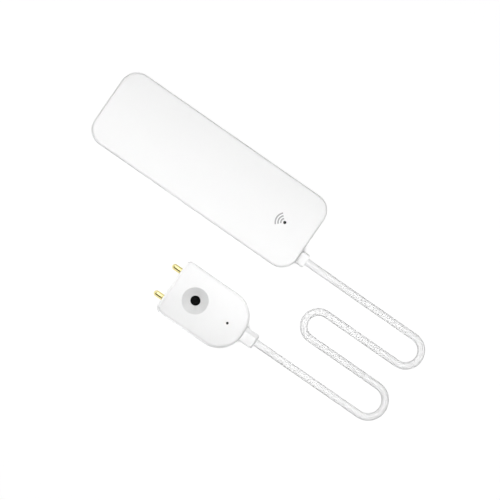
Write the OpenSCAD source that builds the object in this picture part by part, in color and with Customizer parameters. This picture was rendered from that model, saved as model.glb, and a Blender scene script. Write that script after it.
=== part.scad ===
// Water leak sensor: a battery-run main unit, a probe with two contact pins, and the cord between them.
// The origin is the centre of the main unit's rear face. +X runs along the unit to its cord end,
// +Z is up, and z = 0 is the surface that the unit and the probe lie on. Sizes are in millimetres.

/* [Main unit] */
// Width of the main unit
unit_w = 31.3; // [30:0.1:40]
// Height of the main unit
unit_h = 16; // [15.5:0.5:24]
// Corner radius seen from the front
unit_corner_r = 6.7; // [5.5:0.1:8]
// Rounding of the front edge
front_edge_r = 0.9; // [0.3:0.1:1.5]
// Rounding of the rear edge
rear_edge_r = 0.8; // [0.3:0.1:1.4]
// Side wall of the cover and the base
unit_wall = 1.6; // [1.3:0.1:1.9]
// Front wall of the cover
front_wall = 1.8; // [1.2:0.1:2.2]
// Floor of the base
floor_t = 1.8; // [1.4:0.1:2.4]
// Thickness of the base's lip inside the cover
lip_t = 0.9; // [0.7:0.1:1.2]
// Height of the lip above the seam
lip_h = 1.4; // [0.8:0.1:2]
// Depth of the lip's root below the seam
lip_root_h = 2; // [1:0.1:3]
// Depth of the shadow line at the seam
seam_d = 0.4; // [0.2:0.1:0.8]
// Height of the shadow line at the seam
seam_h = 0.3; // [0.2:0.1:0.6]
// Width of the notch for prising the cover off
notch_w = 9; // [6:0.5:14]
// Height of the prising notch
notch_h = 1.3; // [0.8:0.1:2]
// Depth of the prising notch
notch_d = 0.9; // [0.5:0.1:1.2]

/* [Status light] */
// Distance of the status light from the cord end
status_inset = 11.6; // [10:0.1:13]
// Diameter of the status light on the front
status_d = 1.2; // [0.8:0.1:2]
// Diameter of the light pipe behind the front wall
pipe_d = 2.6; // [2.2:0.1:3.2]
// Wall of the boss that holds the light pipe
pipe_boss_wall = 0.9; // [0.6:0.1:1.4]
// Length of that boss
pipe_boss_h = 5; // [3:0.5:6]
// Length of the status LED
led_l = 3.2; // [1.6:0.1:3.5]
// Width of the status LED
led_w = 1.6; // [0.8:0.1:2.8]
// Height of the status LED
led_h = 1.1; // [0.6:0.1:1.9]
// Gap between an LED and its light pipe
led_gap = 0.5; // [0.3:0.1:0.8]

/* [Cells and contacts] */
// Diameter of an AAA cell
cell_d = 10.5; // [10:0.1:11]
// Length of an AAA cell with its positive button
cell_l = 44.5; // [43.3:0.1:45]
// Diameter of a cell's positive button
button_d = 3.8; // [3.2:0.1:4.2]
// Height of a cell's positive button
button_h = 0.8; // [0.6:0.1:1]
// Rounding of a cell's end edges
cell_edge_r = 0.5; // [0.2:0.1:0.8]
// Partition between the two cells
partition_t = 0.8; // [0.6:0.1:1.2]
// Outer walls of the cell cradle
cradle_t = 1; // [0.8:0.1:1.2]
// Drop of those walls below the cells' axis
cradle_drop = 1; // [0.5:0.1:2.5]
// Ribs in the cover above the cells
cell_rib_t = 1.2; // [0.8:0.1:2]
// Length of those ribs
cell_rib_l = 30; // [20:1:40]
// Thickness of the contact plates
plate_t = 0.4; // [0.3:0.1:0.6]
// Width of a contact plate at one cell
plate_w = 7.3; // [6.6:0.1:7.5]
// Reach of a contact plate above the cell's axis
plate_rise = 3.6; // [3:0.1:4]
// Height of the dimple that meets a positive button
dimple_h = 0.8; // [0.5:0.1:1.2]
// Diameter of that dimple at the plate
dimple_d = 5; // [4:0.1:5.5]
// Width of a plate's solder tail
tail_w = 2.4; // [1.8:0.1:3]
// Length of a solder tail that lies on the board
tail_on_board = 2; // [1.2:0.1:2.4]
// Length of a contact spring under its cell
spring_l = 4.2; // [3.8:0.1:5]
// Outer diameter of a contact spring
spring_d = 5.6; // [4.5:0.1:5.6]
// Wire of a contact spring
spring_wire_d = 0.5; // [0.4:0.1:0.6]
// Turns of a contact spring
spring_turns = 3; // [2:0.5:3]
// Wall behind the contact plates
bay_wall_t = 1.2; // [1:0.1:1.6]
// Height of that wall above the cells' axis
bay_wall_rise = 2; // [1:0.1:3]
// Rails that hold the contact plates
rail_t = 0.8; // [0.6:0.1:0.8]
// Overlap of the rails on a contact plate's edge
rail_overlap = 0.7; // [0.4:0.1:0.7]

/* [Main board] */
// Thickness of the main board
board_t = 1.2; // [0.8:0.1:1.6]
// Height of the main board above the floor
board_rise = 1.4; // [1:0.1:1.6]
// Gap between the board and what is around it
board_gap = 0.5; // [0.3:0.1:0.8]
// Corner radius of the main board
board_corner_r = 3.8; // [3.5:0.1:5]
// Diameter of the board's posts
post_d = 4.4; // [4:0.1:5]
// Distance of the posts from the board's inner end
post_inner = 3.6; // [3.4:0.1:4]
// Distance of the posts from the board's cord end
post_outer = 2.8; // [2.6:0.1:3]
// Distance of the posts from the board's sides
post_side = 2.9; // [2.7:0.1:3.1]
// Size of the radio module along X
module_l = 13.4; // [12:0.1:14]
// Size of the radio module along Y
module_w = 17.6; // [15:0.1:17.8]
// Thickness of the radio module
module_t = 0.8; // [0.6:0.1:1.2]
// Distance of the radio module from the board's inner end
module_inset = 5.8; // [5.6:0.1:6.4]
// Room between the radio module and the cord socket
module_room = 1.2; // [1:0.1:4]
// Gap between the pairing switch and the screw head beside it
switch_gap = 0.35; // [0.2:0.05:1]
// Size of the shield can along X
shield_l = 11.6; // [9:0.1:12.6]
// Size of the shield can along Y
shield_w = 11.6; // [9:0.1:12.6]
// Height of the shield can
shield_h = 2.2; // [1.6:0.1:3]
// Margin of the shield can on the module's inner end
shield_margin = 1; // [0.6:0.1:1.6]
// Sheet of the shield can
shield_t = 0.3; // [0.2:0.05:0.5]
// Width of the pairing switch
switch_w = 6; // [5:0.1:6.2]
// Height of the pairing switch without its button
switch_h = 3.5; // [2.5:0.1:4]
// Distance of the pairing switch from the unit's middle line
switch_y = 7.4; // [6.4:0.1:8]
// Diameter of the pairing button
pair_d = 3.5; // [2.5:0.1:4]
// Height of the pairing button above its switch
pair_h = 1.5; // [1:0.1:3]
// Depth of the pairing button in its switch
pair_depth = 1; // [0.6:0.1:1.4]
// Travel of the pairing button
pair_travel = 0.25; // [0.2:0.05:0.5]
// Length of the cord socket
socket_l = 5.5; // [4.5:0.1:6]
// Width of the cord socket
socket_w = 6; // [5.4:0.1:6.4]
// Height of the cord socket
socket_h = 4.5; // [4:0.1:5]
// Wall of the cord socket
socket_wall = 0.6; // [0.5:0.1:0.8]
// Length of the cord plug outside its socket
plug_out = 2; // [1:0.1:2.4]
// Distance of the cord socket from the board's cord end
socket_inset = 12.6; // [12.4:0.1:13]
// Width of the board's notch for the lead wires
lead_notch_w = 4.4; // [3.6:0.1:5]
// Depth of that notch
lead_notch_l = 2.6; // [2:0.1:3]

/* [Screws] */
// Thread diameter of the screws
screw_d = 2; // [1.6:0.1:2.2]
// Head diameter of the screws
screw_head_d = 3.6; // [3.2:0.1:3.6]
// Head height of the board screws
screw_head_h = 1.3; // [1:0.1:1.6]
// Floor left under a board screw's pilot hole
pilot_floor = 0.9; // [0.6:0.1:1.2]
// Cross recess of a screw head, end to end
recess_l = 2; // [1.4:0.1:2.2]
// Width of the cross recess
recess_w = 0.5; // [0.4:0.1:0.6]
// Depth of the cross recess
recess_d = 0.5; // [0.3:0.1:0.5]

/* [Gland and cord] */
// Diameter of the cord
cord_d = 2.8; // [2.2:0.1:3]
// Length over which the cord sinks from the gland or the boot to the surface that it lies on
cord_sink_l = 30; // [20:1:40]
// Width of the gland outside the main unit
gland_w = 5.5; // [5:0.1:6]
// Height of the gland
gland_h = 5; // [4.6:0.1:6]
// Length of the gland outside the main unit
gland_l = 3.7; // [3:0.1:6]
// Side offset of the gland from the unit's middle line
gland_y = -7.4; // [-8:0.1:-6.5]
// Height of the gland's underside above the base's floor
gland_rise = 0.3; // [0.2:0.1:0.5]
// Width of the gland's neck in the wall
neck_w = 4.1; // [3.6:0.1:4.4]
// Height of the gland's neck in the wall
neck_h = 3.6; // [3.2:0.1:4]
// Rounding of the gland's and the boot's corners
gland_edge_r = 0.9; // [0.4:0.1:1.4]
// Thickness of the gland's flange inside the wall
flange_t = 1.4; // [1:0.1:1.4]
// Diameter of a lead wire
lead_d = 1.1; // [0.8:0.1:1.2]
// Distance between the two lead wires where they leave the cord
lead_pitch = 1.5; // [1.4:0.1:1.8]
// Distance between the two lead wires at the plug
plug_pitch = 2; // [1.6:0.1:2.5]
// Half the straight length of a lead wire at each of its ends
lead_straight = 0.8; // [0.6:0.1:0.9]
// Distance between the two lead wires where they are soldered in the probe
solder_pitch = 4.6; // [4.2:0.1:5]
// Length of a lead wire that lies on the probe's board
solder_l = 3; // [2:0.1:4]

/* [Probe] */
// Length of the probe's casing
probe_l = 32.6; // [31:0.1:40]
// Width of the probe's casing
probe_w = 22.6; // [22:0.1:26]
// Height of the probe's casing
probe_h = 10; // [9.4:0.1:12]
// Corner radius of the probe's round end
nose_r = 10.2; // [9:0.1:10.8]
// Corner radius of the probe's flat end
probe_corner_r = 1.8; // [1.4:0.1:3]
// Rounding of the probe's top edge
probe_edge_r = 1.2; // [0.5:0.1:1.3]
// Rounding of the probe's bottom edge
probe_base_edge_r = 0.6; // [0.3:0.1:1]
// Side wall of the probe's top shell
probe_wall = 1.5; // [1.2:0.1:1.6]
// Top wall of the probe's top shell
probe_top_t = 1.6; // [1.2:0.1:2]
// Thickness of the probe's base plate
probe_base_t = 2; // [1.8:0.1:2.4]
// Section of the seal between the probe's shells
seal_t = 0.8; // [0.6:0.1:0.9]
// Distance of the screw hole from the flat end
hole_x = 10.7; // [10.2:0.1:12]
// Bore of the screw hole
bore_d = 3.9; // [3.5:0.1:4.3]
// Diameter of the countersink at the top
sink_d = 10.2; // [9:0.1:10.6]
// Wall around the countersink
sink_wall = 1.2; // [0.8:0.1:1.2]
// Wall of the sleeve around the bore
sleeve_wall = 1.4; // [1:0.1:1.6]
// Distance of the indicator from the round end
probe_light_x = 7.2; // [6.8:0.1:8]
// Diameter of the indicator on the top
probe_light_d = 1; // [0.6:0.1:1.4]
// Diameter of the indicator's light pipe inside
probe_pipe_d = 2.2; // [1.8:0.1:2.6]
// Length of the boss that holds that light pipe
probe_pipe_boss_h = 2.4; // [1.6:0.1:2.6]
// Length of the indicator LED
probe_led_l = 2; // [1.6:0.1:2.4]
// Width of the indicator LED
probe_led_w = 1.2; // [0.8:0.1:1.6]
// Height of the indicator LED
probe_led_h = 0.8; // [0.5:0.1:1.2]
// Diameter of a contact pin
pin_d = 2.4; // [2:0.1:2.6]
// Reach of a contact pin past the flat end
pin_out = 4; // [3:0.1:6]
// Length of a contact pin inside the flat end
pin_in = 5.9; // [5:0.1:6]
// Distance between the two contact pins
pin_pitch = 12.1; // [11.8:0.1:12.4]
// Diameter of a contact pin's collar
collar_d = 3.4; // [3:0.1:3.4]
// Thickness of a contact pin's collar
collar_t = 0.8; // [0.6:0.1:0.8]
// Section of a pin seal
pin_seal_t = 0.9; // [0.7:0.1:0.9]
// Thickness of the probe's board
probe_board_t = 1; // [0.8:0.1:1.2]
// Height of the probe's board above the base plate
probe_board_rise = 0.4; // [0.3:0.1:0.6]
// Diameter of the pads under the probe's board
probe_pad_d = 2.4; // [1.6:0.1:3]
// Distance of the pads from the board's sides
probe_pad_side = 1.5; // [1.3:0.1:2]
// Distance of the probe's screws from the round end
probe_screw_x = 10.1; // [9.6:0.1:11]
// Distance of the probe's screws from its sides
probe_screw_side = 4.7; // [4.5:0.1:5]
// Diameter of the bosses for the probe's screws
probe_boss_d = 4.4; // [4:0.1:4.6]
// Head height of the probe's screws
probe_head_h = 0.9; // [0.7:0.1:1]
// Length of the probe's screws under the head
probe_screw_l = 5.5; // [4:0.5:6]
// Width of the boot at the probe's round end
boot_w = 5.9; // [5.4:0.1:6.2]
// Height of the boot
boot_h = 5.2; // [4.8:0.1:6]
// Length of the boot outside the probe
boot_l = 5.7; // [4:0.1:8]
// Width of the boot's neck in the wall
boot_neck_w = 3.8; // [3.4:0.1:4.2]
// Height of the boot's neck in the wall
boot_neck_h = 3.4; // [3:0.1:3.6]
// Width of the boot's flange inside the wall
boot_flange_w = 5.4; // [5:0.1:5.8]

/* [Layout] */
// Place of the probe's flat end along X
probe_x = 12.9; // [0:0.1:20]
// Place of the probe's middle line along Y
probe_y = -43.3; // [-60:0.1:-36]

/* [Clearances] */
// Gap between the cover and what it slides past
cover_gap = 0.15; // [0.1:0.05:0.2]
// Gap between pieces that are assembled and stay put
slip_gap = 0.05; // [0.03:0.01:0.08]
// Gap between a cell and its contacts
touch_gap = 0.05; // [0.03:0.01:0.1]
// Gap between a cell and its cradle
cell_gap = 0.2; // [0.15:0.05:0.3]
// Radial gap of a screw's thread in the board and the probe's base plate
screw_gap = 0.1; // [0.08:0.01:0.2]
// Radial gap of a probe screw's head in its recess
head_gap = 0.2; // [0.1:0.05:0.3]
// Gap around the probe's board and the bosses beside it
probe_board_gap = 0.3; // [0.2:0.05:0.5]
// Gap between the boot's flange and the round wall in front of it
boot_seat_gap = 0.2; // [0.16:0.02:0.3]
// Gap between the cells and the cover's ribs
rib_gap = 0.35; // [0.3:0.05:0.5]
// Radial gap of the pairing button in its switch
pair_gap = 0.1; // [0.08:0.01:0.15]

/* [Hidden] */
$fn = 64;
// Overshoot of a cut past the face that it opens
eps = 0.5;

// Half turns of the cord: place of the centre along X, then the share that the turn takes of the distance
// between the gland's and the boot's middle lines
cord_turns = [[99.4, 0.332], [67.3, 0.308], [98.5, 0.36]];
// Steps of a half turn, steps of a sinking end, and sides of the cord and the lead wires
turn_steps = 12;
cord_sink_steps = 8;
cord_sides = 8;
// Steps of a lead wire between two route points
lead_steps = 4;
// Rings in one turn of a spring, and sides of its wire
spring_rings = 24;
spring_sides = 6;

// Length that a rounded corner of radius r takes from a row that reaches d past the corner's start
function corner_loss(r, d) = d > 0 ? r - sqrt(r * r - d * d) : 0;

// Main unit: length, as what is in a row inside it needs
lip_out = unit_wall + cover_gap;
lip_in = lip_out + lip_t;
cell_y = partition_t / 2 + cell_gap + cell_d / 2;
plate_half = cell_y + plate_w / 2;
plate_corner = corner_loss(unit_corner_r - lip_in, plate_half + slip_gap - unit_w / 2 + unit_corner_r);
bay_in = lip_in + max(slip_gap, plate_corner);
bay_l = 2 * plate_t + dimple_h + cell_l + spring_l + 2 * touch_gap;
board_in = bay_in + bay_l + slip_gap + bay_wall_t + 2 * board_gap;
unit_l = board_in + module_inset + module_l + module_room + socket_inset + 2 * board_gap + lip_in;

// Main unit: shells
unit_end = unit_l / 2;
gland_z = floor_t + gland_rise + gland_h / 2;
seam_z = gland_z + neck_h / 2 + slip_gap;
cover_in_z = unit_h - front_wall;
status_x = unit_end - status_inset;

// Main unit: cells and contacts
cell_z = floor_t + cell_gap + cell_d / 2;
bay_x = bay_in - unit_end;
far_face = bay_x + plate_t;
near_face = far_face + dimple_h + cell_l + spring_l + 2 * touch_gap;
cell_a_x = far_face + dimple_h + touch_gap;
cell_b_x = far_face + spring_l + touch_gap;
bay_wall_x = near_face + plate_t + slip_gap;
cradle_y = cell_y + cell_d / 2 + cell_gap;
plate_z = floor_t + slip_gap;
plate_top = cell_z + plate_rise;
bay_wall_top = cell_z + bay_wall_rise;

// Main unit: board and what stands on it
board_z = floor_t + board_rise;
board_top = board_z + board_t;
board_x0 = board_in - unit_end;
board_x1 = unit_end - lip_in - 2 * board_gap;
board_w = unit_w - 2 * lip_in - 2 * board_gap;
post_y = board_w / 2 - post_side;
screw_places = [[board_x1 - post_outer, post_y], [board_x0 + post_inner, -post_y]];
post_places = [[board_x1 - post_outer, -post_y], [board_x0 + post_inner, post_y]];
module_x = board_x0 + module_inset;
module_y = board_w / 2 - board_gap - module_w;
module_top = board_top + module_t;
pipe_z = board_top + led_h + led_gap;
switch_x = board_x1 - post_outer - screw_head_d / 2 - switch_gap - switch_w / 2;
switch_top = board_top + switch_h;
socket_x = board_x1 - socket_inset;
socket_z = board_top + socket_h / 2;
plug_x1 = socket_x + socket_l + plug_out;
flange_x1 = unit_end - unit_wall - cover_gap;
flange_x0 = flange_x1 - flange_t;
// Small board parts beside the module: place from its inner end, share of the strip's width from the
// strip's middle, then length, width, height
strip_rows = [
    [3, 0, 3, 1.6, 1.1], [6.6, -0.25, 1.6, 0.8, 0.6], [6.6, 0.25, 1.6, 0.8, 0.6],
    [9.4, 0, 3, 3, 0.9], [12.6, -0.25, 2, 1.25, 1], [12.6, 0.25, 2, 1.25, 1]
];
strip_w = module_y + board_w / 2;
strip_y = module_y - strip_w / 2;
// Small board parts beside the status LED: place from it, then length, width, height
light_rows = [
    [-3.25, 1.6, 1.6, 0.8, 0.6], [-3.25, -2, 2, 1.25, 1], [-3.25, 3.6, 1.6, 0.8, 0.6]
];
// Small board parts at the cord end: place from the board's end and middle line, then the same sizes
end_rows = [
    [-2.8, -0.4, 4, 4, 2], [-2.8, 3.4, 1.6, 0.8, 0.6], [-2.8, -3.8, 1.6, 0.8, 0.6]
];

// Probe
sink_h = (sink_d - bore_d) / 2;
sink_z = probe_h - sink_h;
sleeve_d = bore_d + 2 * sleeve_wall;
sink_boss_d = sink_d + 2 * sink_wall;
sink_boss_z = sink_z - sink_wall;
probe_in_z = probe_h - probe_top_t;
seal_in = probe_wall + slip_gap + seal_t;
tongue_in = seal_in + slip_gap + seal_t;
seal_top = probe_base_t + seal_t;
probe_board_in = tongue_in + probe_board_gap;
probe_pad_y = probe_w / 2 - probe_board_in - probe_pad_side;
probe_board_z = probe_base_t + probe_board_rise;
probe_board_top = probe_board_z + probe_board_t;
pin_z = probe_board_top + pin_d / 2;
pin_seal_x = probe_wall + slip_gap;
collar_x = pin_seal_x + pin_seal_t + slip_gap;
boot_z = seal_top + 2 * slip_gap + boot_neck_h / 2;
boot_flange_x1 = probe_l - probe_wall - boot_seat_gap;
boot_flange_x0 = boot_flange_x1 - flange_t;
probe_boss_z = seal_top + slip_gap;
probe_head_z = probe_head_h + screw_gap;
probe_pipe_z = probe_board_top + probe_led_h + led_gap;
light_x = probe_l - probe_light_x;
probe_row_x = probe_l - probe_screw_x;
probe_row_y = probe_w / 2 - probe_screw_side;
// Least straight length left between the two round corners of an end
least_flat = 0.4;
nose_end_r = min(nose_r, (probe_w - least_flat) / 2);

// Cord: four runs from the gland to the boot, with half turns between them
cord_start = [unit_end + gland_l, gland_y, gland_z];
cord_end = [probe_x + probe_l + boot_l, probe_y, boot_z];
cord_span = cord_start[1] - cord_end[1];
cord_lie_z = cord_d / 2 + slip_gap;
function ease(t) = t * t * (3 - 2 * t);
// Points from an end to where the cord lies; the first step is level, so that the end is square
function sinking(p) = [
    for (i = [0 : cord_sink_steps])
        let (down = ease(max(i - 1, 0) / (cord_sink_steps - 1)))
            [p[0] + cord_sink_l * i / cord_sink_steps, p[1], p[2] + (cord_lie_z - p[2]) * down]
];
function share_before(i) = i == 0 ? 0 : share_before(i - 1) + cord_turns[i - 1][1];
function half_turn(i) =
    let (
        r = cord_span * cord_turns[i][1] / 2,
        y = cord_start[1] - cord_span * share_before(i) - r,
        way = i % 2 == 0 ? 1 : -1
    ) [
        for (k = [0 : turn_steps])
            let (a = 90 - 180 * k / turn_steps)
                [cord_turns[i][0] + way * r * cos(a), y + r * sin(a), cord_lie_z]
    ];
function backwards(p) = [for (i = [len(p) - 1 : -1 : 0]) p[i]];
cord_route = [
    each sinking(cord_start),
    for (i = [0 : len(cord_turns) - 1])
        each half_turn(i),
    each backwards(sinking(cord_end))
];

// Points for swept tubes
function unit_of(v) = v / norm(v);
function blend(a, b, c, d, t) =
    0.5 * (2 * b + t * (c - a) + t * t * (2 * a - 5 * b + 4 * c - d) + t * t * t * (3 * b - a - 3 * c + d));
function smooth_route(p, steps) = [
    for (i = [0 : len(p) - 2])
        for (k = [0 : steps - 1])
            blend(p[max(i - 1, 0)], p[i], p[i + 1], p[min(i + 2, len(p) - 1)], k / steps),
    p[len(p) - 1]
];
function along(p, i) = unit_of(p[min(i + 1, len(p) - 1)] - p[max(i - 1, 0)]);
function helix(r, pitch, turns, rings) = [
    for (i = [0 : turns * rings])
        let (a = 360 * i / rings) [pitch * i / rings, r * cos(a), r * sin(a)]
];

// Least gap between turns of a spring, measured between points at least half a turn apart
function self_gap(p, apart, d) = min([
    for (i = [0 : len(p) - 1 - apart])
        for (j = [i + apart : len(p) - 1])
            norm(p[j] - p[i])
]) - d;
spring_line = helix(
    (spring_d - spring_wire_d) / 2,
    (spring_l - spring_wire_d - 2 * slip_gap) / spring_turns,
    spring_turns, spring_rings
);
echo(spring_gap = self_gap(spring_line, spring_rings / 2, spring_wire_d));

// A tube of flat triangles along points, with rings square to the line
module tube(p, d, sides, up) {
    n = len(p);
    points = [
        for (i = [0 : n - 1])
            let (t = along(p, i), side = unit_of(cross(t, up)), top = cross(side, t))
                for (k = [0 : sides - 1])
                    let (a = 360 * (k + 0.5) / sides)
                        p[i] + d / 2 * (cos(a) * side + sin(a) * top)
    ];
    walls = [
        for (i = [0 : n - 2])
            for (k = [0 : sides - 1])
                let (a = i * sides + k, b = i * sides + (k + 1) % sides)
                    each [[a, b, a + sides], [b, b + sides, a + sides]]
    ];
    caps = [
        for (k = [1 : sides - 2])
            each [
                [0, k + 1, k],
                [(n - 1) * sides, (n - 1) * sides + k, (n - 1) * sides + k + 1]
            ]
    ];
    polyhedron(points, concat(walls, caps));
}

// A quarter of a disc in the first quadrant
module quarter(r) {
    intersection() {
        circle(r);
        square(r);
    }
}

// Outline with square-on sides, centred on y = 0 from x0 to x1, with its own corner radius at each end
module outline(x0, x1, w, r0, r1) {
    translate([x0 + r0, -w / 2])
        square([x1 - x0 - r0 - r1, w]);
    translate([x0, r0 - w / 2])
        square([r0, w - 2 * r0]);
    translate([x1 - r1, r1 - w / 2])
        square([r1, w - 2 * r1]);
    for (s = [0, 1])
        mirror([0, s, 0]) {
            translate([x1 - r1, w / 2 - r1])
                quarter(r1);
            translate([x0 + r0, w / 2 - r0])
                mirror([1, 0, 0])
                    quarter(r0);
        }
}

// A block on that outline whose top edge is rounded
module soft_block(x0, x1, w, r0, r1, h, edge) {
    linear_extrude(h - edge)
        outline(x0, x1, w, r0, r1);
    translate([0, 0, h - edge])
        linear_extrude(edge)
            outline(x0 + edge, x1 - edge, w - 2 * edge, r0 - edge, r1 - edge);
    translate([0, 0, h - edge])
        for (s = [0, 1])
            mirror([0, s, 0]) {
                translate([x0 + r0, w / 2 - edge, 0])
                    rotate([90, 0, 90])
                        linear_extrude(x1 - x0 - r0 - r1)
                            quarter(edge);
                translate([x1 - r1, w / 2 - r1, 0])
                    rotate_extrude(angle = 90)
                        translate([r1 - edge, 0])
                            quarter(edge);
                translate([x0 + r0, w / 2 - r0, 0])
                    mirror([1, 0, 0])
                        rotate_extrude(angle = 90)
                            translate([r0 - edge, 0])
                                quarter(edge);
            }
    translate([x1 - edge, w / 2 - r1, h - edge])
        rotate([90, 0, 0])
            linear_extrude(w - 2 * r1)
                quarter(edge);
    translate([x0 + edge, r0 - w / 2, h - edge])
        rotate([90, 0, 180])
            linear_extrude(w - 2 * r0)
                quarter(edge);
}

// Box given by its low and high corners
module box(low, high) {
    translate(low)
        cube(high - low);
}

// Main unit outline moved in by a distance
module unit_outline(inset) {
    r = unit_corner_r - inset;
    outline(inset - unit_end, unit_end - inset, unit_w - 2 * inset, r, r);
}

module unit_prism(inset, z0, z1) {
    translate([0, 0, z0])
        linear_extrude(z1 - z0)
            unit_outline(inset);
}

module unit_ring(outer, inner, z0, z1) {
    translate([0, 0, z0])
        linear_extrude(z1 - z0)
            difference() {
                unit_outline(outer);
                unit_outline(inner);
            }
}

// Probe outline moved in by a distance, from the flat end at x = 0
module probe_outline(inset) {
    least_r = 0.3;
    outline(
        inset, probe_l - inset, probe_w - 2 * inset,
        max(probe_corner_r - inset, least_r), nose_end_r - inset
    );
}

module probe_prism(inset, z0, z1) {
    translate([0, 0, z0])
        linear_extrude(z1 - z0)
            probe_outline(inset);
}

module probe_ring(outer, inner, z0, z1) {
    translate([0, 0, z0])
        linear_extrude(z1 - z0)
            difference() {
                probe_outline(outer);
                probe_outline(inner);
            }
}

module at_probe() {
    translate([probe_x, probe_y, 0])
        children();
}

// Base: cell cradle, rails for the contact plates and posts for the board
module cradle() {
    low = floor_t - eps;
    box(
        [far_face + slip_gap, -partition_t / 2, low],
        [near_face - slip_gap, partition_t / 2, cell_z - cell_gap]
    );
    for (s = [0, 1])
        mirror([0, s, 0]) {
            box(
                [far_face + slip_gap, cradle_y, low],
                [near_face, cradle_y + cradle_t, cell_z - cradle_drop]
            );
            for (x = [far_face + slip_gap, near_face - slip_gap - rail_t])
                box(
                    [x, plate_half - rail_overlap, low],
                    [x + rail_t, cradle_y + cradle_t, bay_wall_top]
                );
        }
    middle_y = cell_y - plate_w / 2 + rail_overlap;
    box(
        [near_face - slip_gap - rail_t, -middle_y, low],
        [near_face - slip_gap, middle_y, bay_wall_top]
    );
    difference() {
        box(
            [bay_wall_x, -cradle_y - cradle_t, low],
            [bay_wall_x + bay_wall_t, cradle_y + cradle_t, bay_wall_top]
        );
        for (y = [-cell_y, cell_y])
            box(
                [bay_wall_x - eps, y - tail_w / 2 - cell_gap, board_top - slip_gap],
                [bay_wall_x + bay_wall_t + eps, y + tail_w / 2 + cell_gap, bay_wall_top + eps]
            );
    }
}

module board_posts() {
    for (p = concat(screw_places, post_places))
        translate([p[0], p[1], floor_t - eps])
            cylinder(d = post_d, h = board_rise + eps);
}

module rear_base() {
    color("whitesmoke")
        difference() {
            union() {
                difference() {
                    translate([0, 0, seam_z])
                        mirror([0, 0, 1])
                            soft_block(
                                -unit_end, unit_end, unit_w, unit_corner_r, unit_corner_r,
                                seam_z, rear_edge_r
                            );
                    unit_prism(unit_wall, floor_t, seam_z + eps);
                }
                unit_ring(unit_wall - eps, lip_in, seam_z - lip_root_h, seam_z);
                unit_ring(lip_out, lip_in, seam_z - eps, seam_z + lip_h);
                intersection() {
                    union() {
                        cradle();
                        board_posts();
                    }
                    unit_prism(lip_in + cell_gap, 0, unit_h);
                }
            }
            difference() {
                unit_prism(-eps, seam_z - seam_h, seam_z);
                unit_prism(seam_d, seam_z - seam_h - eps, seam_z + eps);
            }
            box(
                [-unit_end - eps, -notch_w / 2, seam_z - notch_h],
                [notch_d - unit_end, notch_w / 2, seam_z]
            );
            box(
                [unit_end - lip_in - eps, gland_y - neck_w / 2 - slip_gap, gland_z - neck_h / 2 - slip_gap],
                [unit_end + eps, gland_y + neck_w / 2 + slip_gap, seam_z + lip_h + eps]
            );
            box(
                [unit_end - lip_in - eps, gland_y - gland_w / 2 - slip_gap, floor_t],
                [unit_end - unit_wall, gland_y + gland_w / 2 + slip_gap, seam_z + lip_h + eps]
            );
            for (p = screw_places)
                translate([p[0], p[1], pilot_floor])
                    cylinder(d = screw_d + 2 * slip_gap, h = board_z);
        }
}

module front_cover() {
    color("white")
        difference() {
            union() {
                difference() {
                    translate([0, 0, seam_z])
                        soft_block(
                            -unit_end, unit_end, unit_w, unit_corner_r, unit_corner_r,
                            unit_h - seam_z, front_edge_r
                        );
                    unit_prism(unit_wall, seam_z - eps, cover_in_z);
                }
                translate([status_x, 0, cover_in_z - pipe_boss_h])
                    cylinder(d = pipe_d + 2 * slip_gap + 2 * pipe_boss_wall, h = pipe_boss_h + eps);
                for (y = [-cell_y, cell_y])
                    translate([(cell_a_x + cell_b_x + cell_l) / 2 - cell_rib_l / 2, y - cell_rib_t / 2, 0])
                        box(
                            [0, 0, cell_z + cell_d / 2 + rib_gap],
                            [cell_rib_l, cell_rib_t, cover_in_z + eps]
                        );
            }
            translate([status_x, 0, cover_in_z - pipe_boss_h - eps])
                cylinder(d = pipe_d + 2 * slip_gap, h = pipe_boss_h + eps);
            translate([status_x, 0, cover_in_z - eps])
                cylinder(d = status_d + slip_gap, h = front_wall + 2 * eps);
        }
}

module status_light_pipe() {
    color("black")
        translate([status_x, 0, 0]) {
            translate([0, 0, pipe_z])
                cylinder(d = pipe_d, h = cover_in_z - pipe_z);
            translate([0, 0, cover_in_z - eps])
                cylinder(d = status_d, h = front_wall + eps);
        }
}

// Block along X with rounded corners in its end view and at its outer end
module stub(x0, x1, w, h, r) {
    intersection() {
        translate([x0, 0, 0])
            rotate([90, 0, 90])
                linear_extrude(x1 - x0)
                    outline(-w / 2, w / 2, h, r, r);
        translate([0, 0, -h])
            linear_extrude(2 * h)
                outline(x0 - 2 * r, x1, w, r, r);
    }
}

module main_gland() {
    color("white")
        translate([0, gland_y, gland_z]) {
            stub(unit_end + cover_gap, unit_end + gland_l, gland_w, gland_h, gland_edge_r);
            box(
                [flange_x1 - eps, -neck_w / 2, -neck_h / 2],
                [unit_end + cover_gap + eps, neck_w / 2, neck_h / 2]
            );
            box([flange_x0, -gland_w / 2, -gland_h / 2], [flange_x1, gland_w / 2, gland_h / 2]);
        }
}

// A cell along +X from its negative end, as one turned body
module cell() {
    can_l = cell_l - button_h;
    can_r = cell_d / 2;
    rotate([90, 0, 90])
        rotate_extrude() {
            square([can_r - cell_edge_r, can_l]);
            translate([can_r - cell_edge_r, cell_edge_r])
                square([cell_edge_r, can_l - 2 * cell_edge_r]);
            translate([can_r - cell_edge_r, can_l - cell_edge_r])
                quarter(cell_edge_r);
            translate([can_r - cell_edge_r, cell_edge_r])
                mirror([0, 1, 0])
                    quarter(cell_edge_r);
            square([button_d / 2, cell_l]);
        }
}

// Cell with its positive button at the far end
module cell_a() {
    color("gainsboro")
        translate([cell_a_x + cell_l, cell_y, cell_z])
            rotate([0, 0, 180])
                cell();
}

// Cell with its positive button at the board's end
module cell_b() {
    color("gainsboro")
        translate([cell_b_x, -cell_y, cell_z])
            cell();
}

// Dimple that meets a positive button, pointing along +X
module dimple() {
    rotate([0, 90, 0])
        cylinder(d1 = dimple_d, d2 = dimple_d / 2, h = dimple_h);
}

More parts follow.
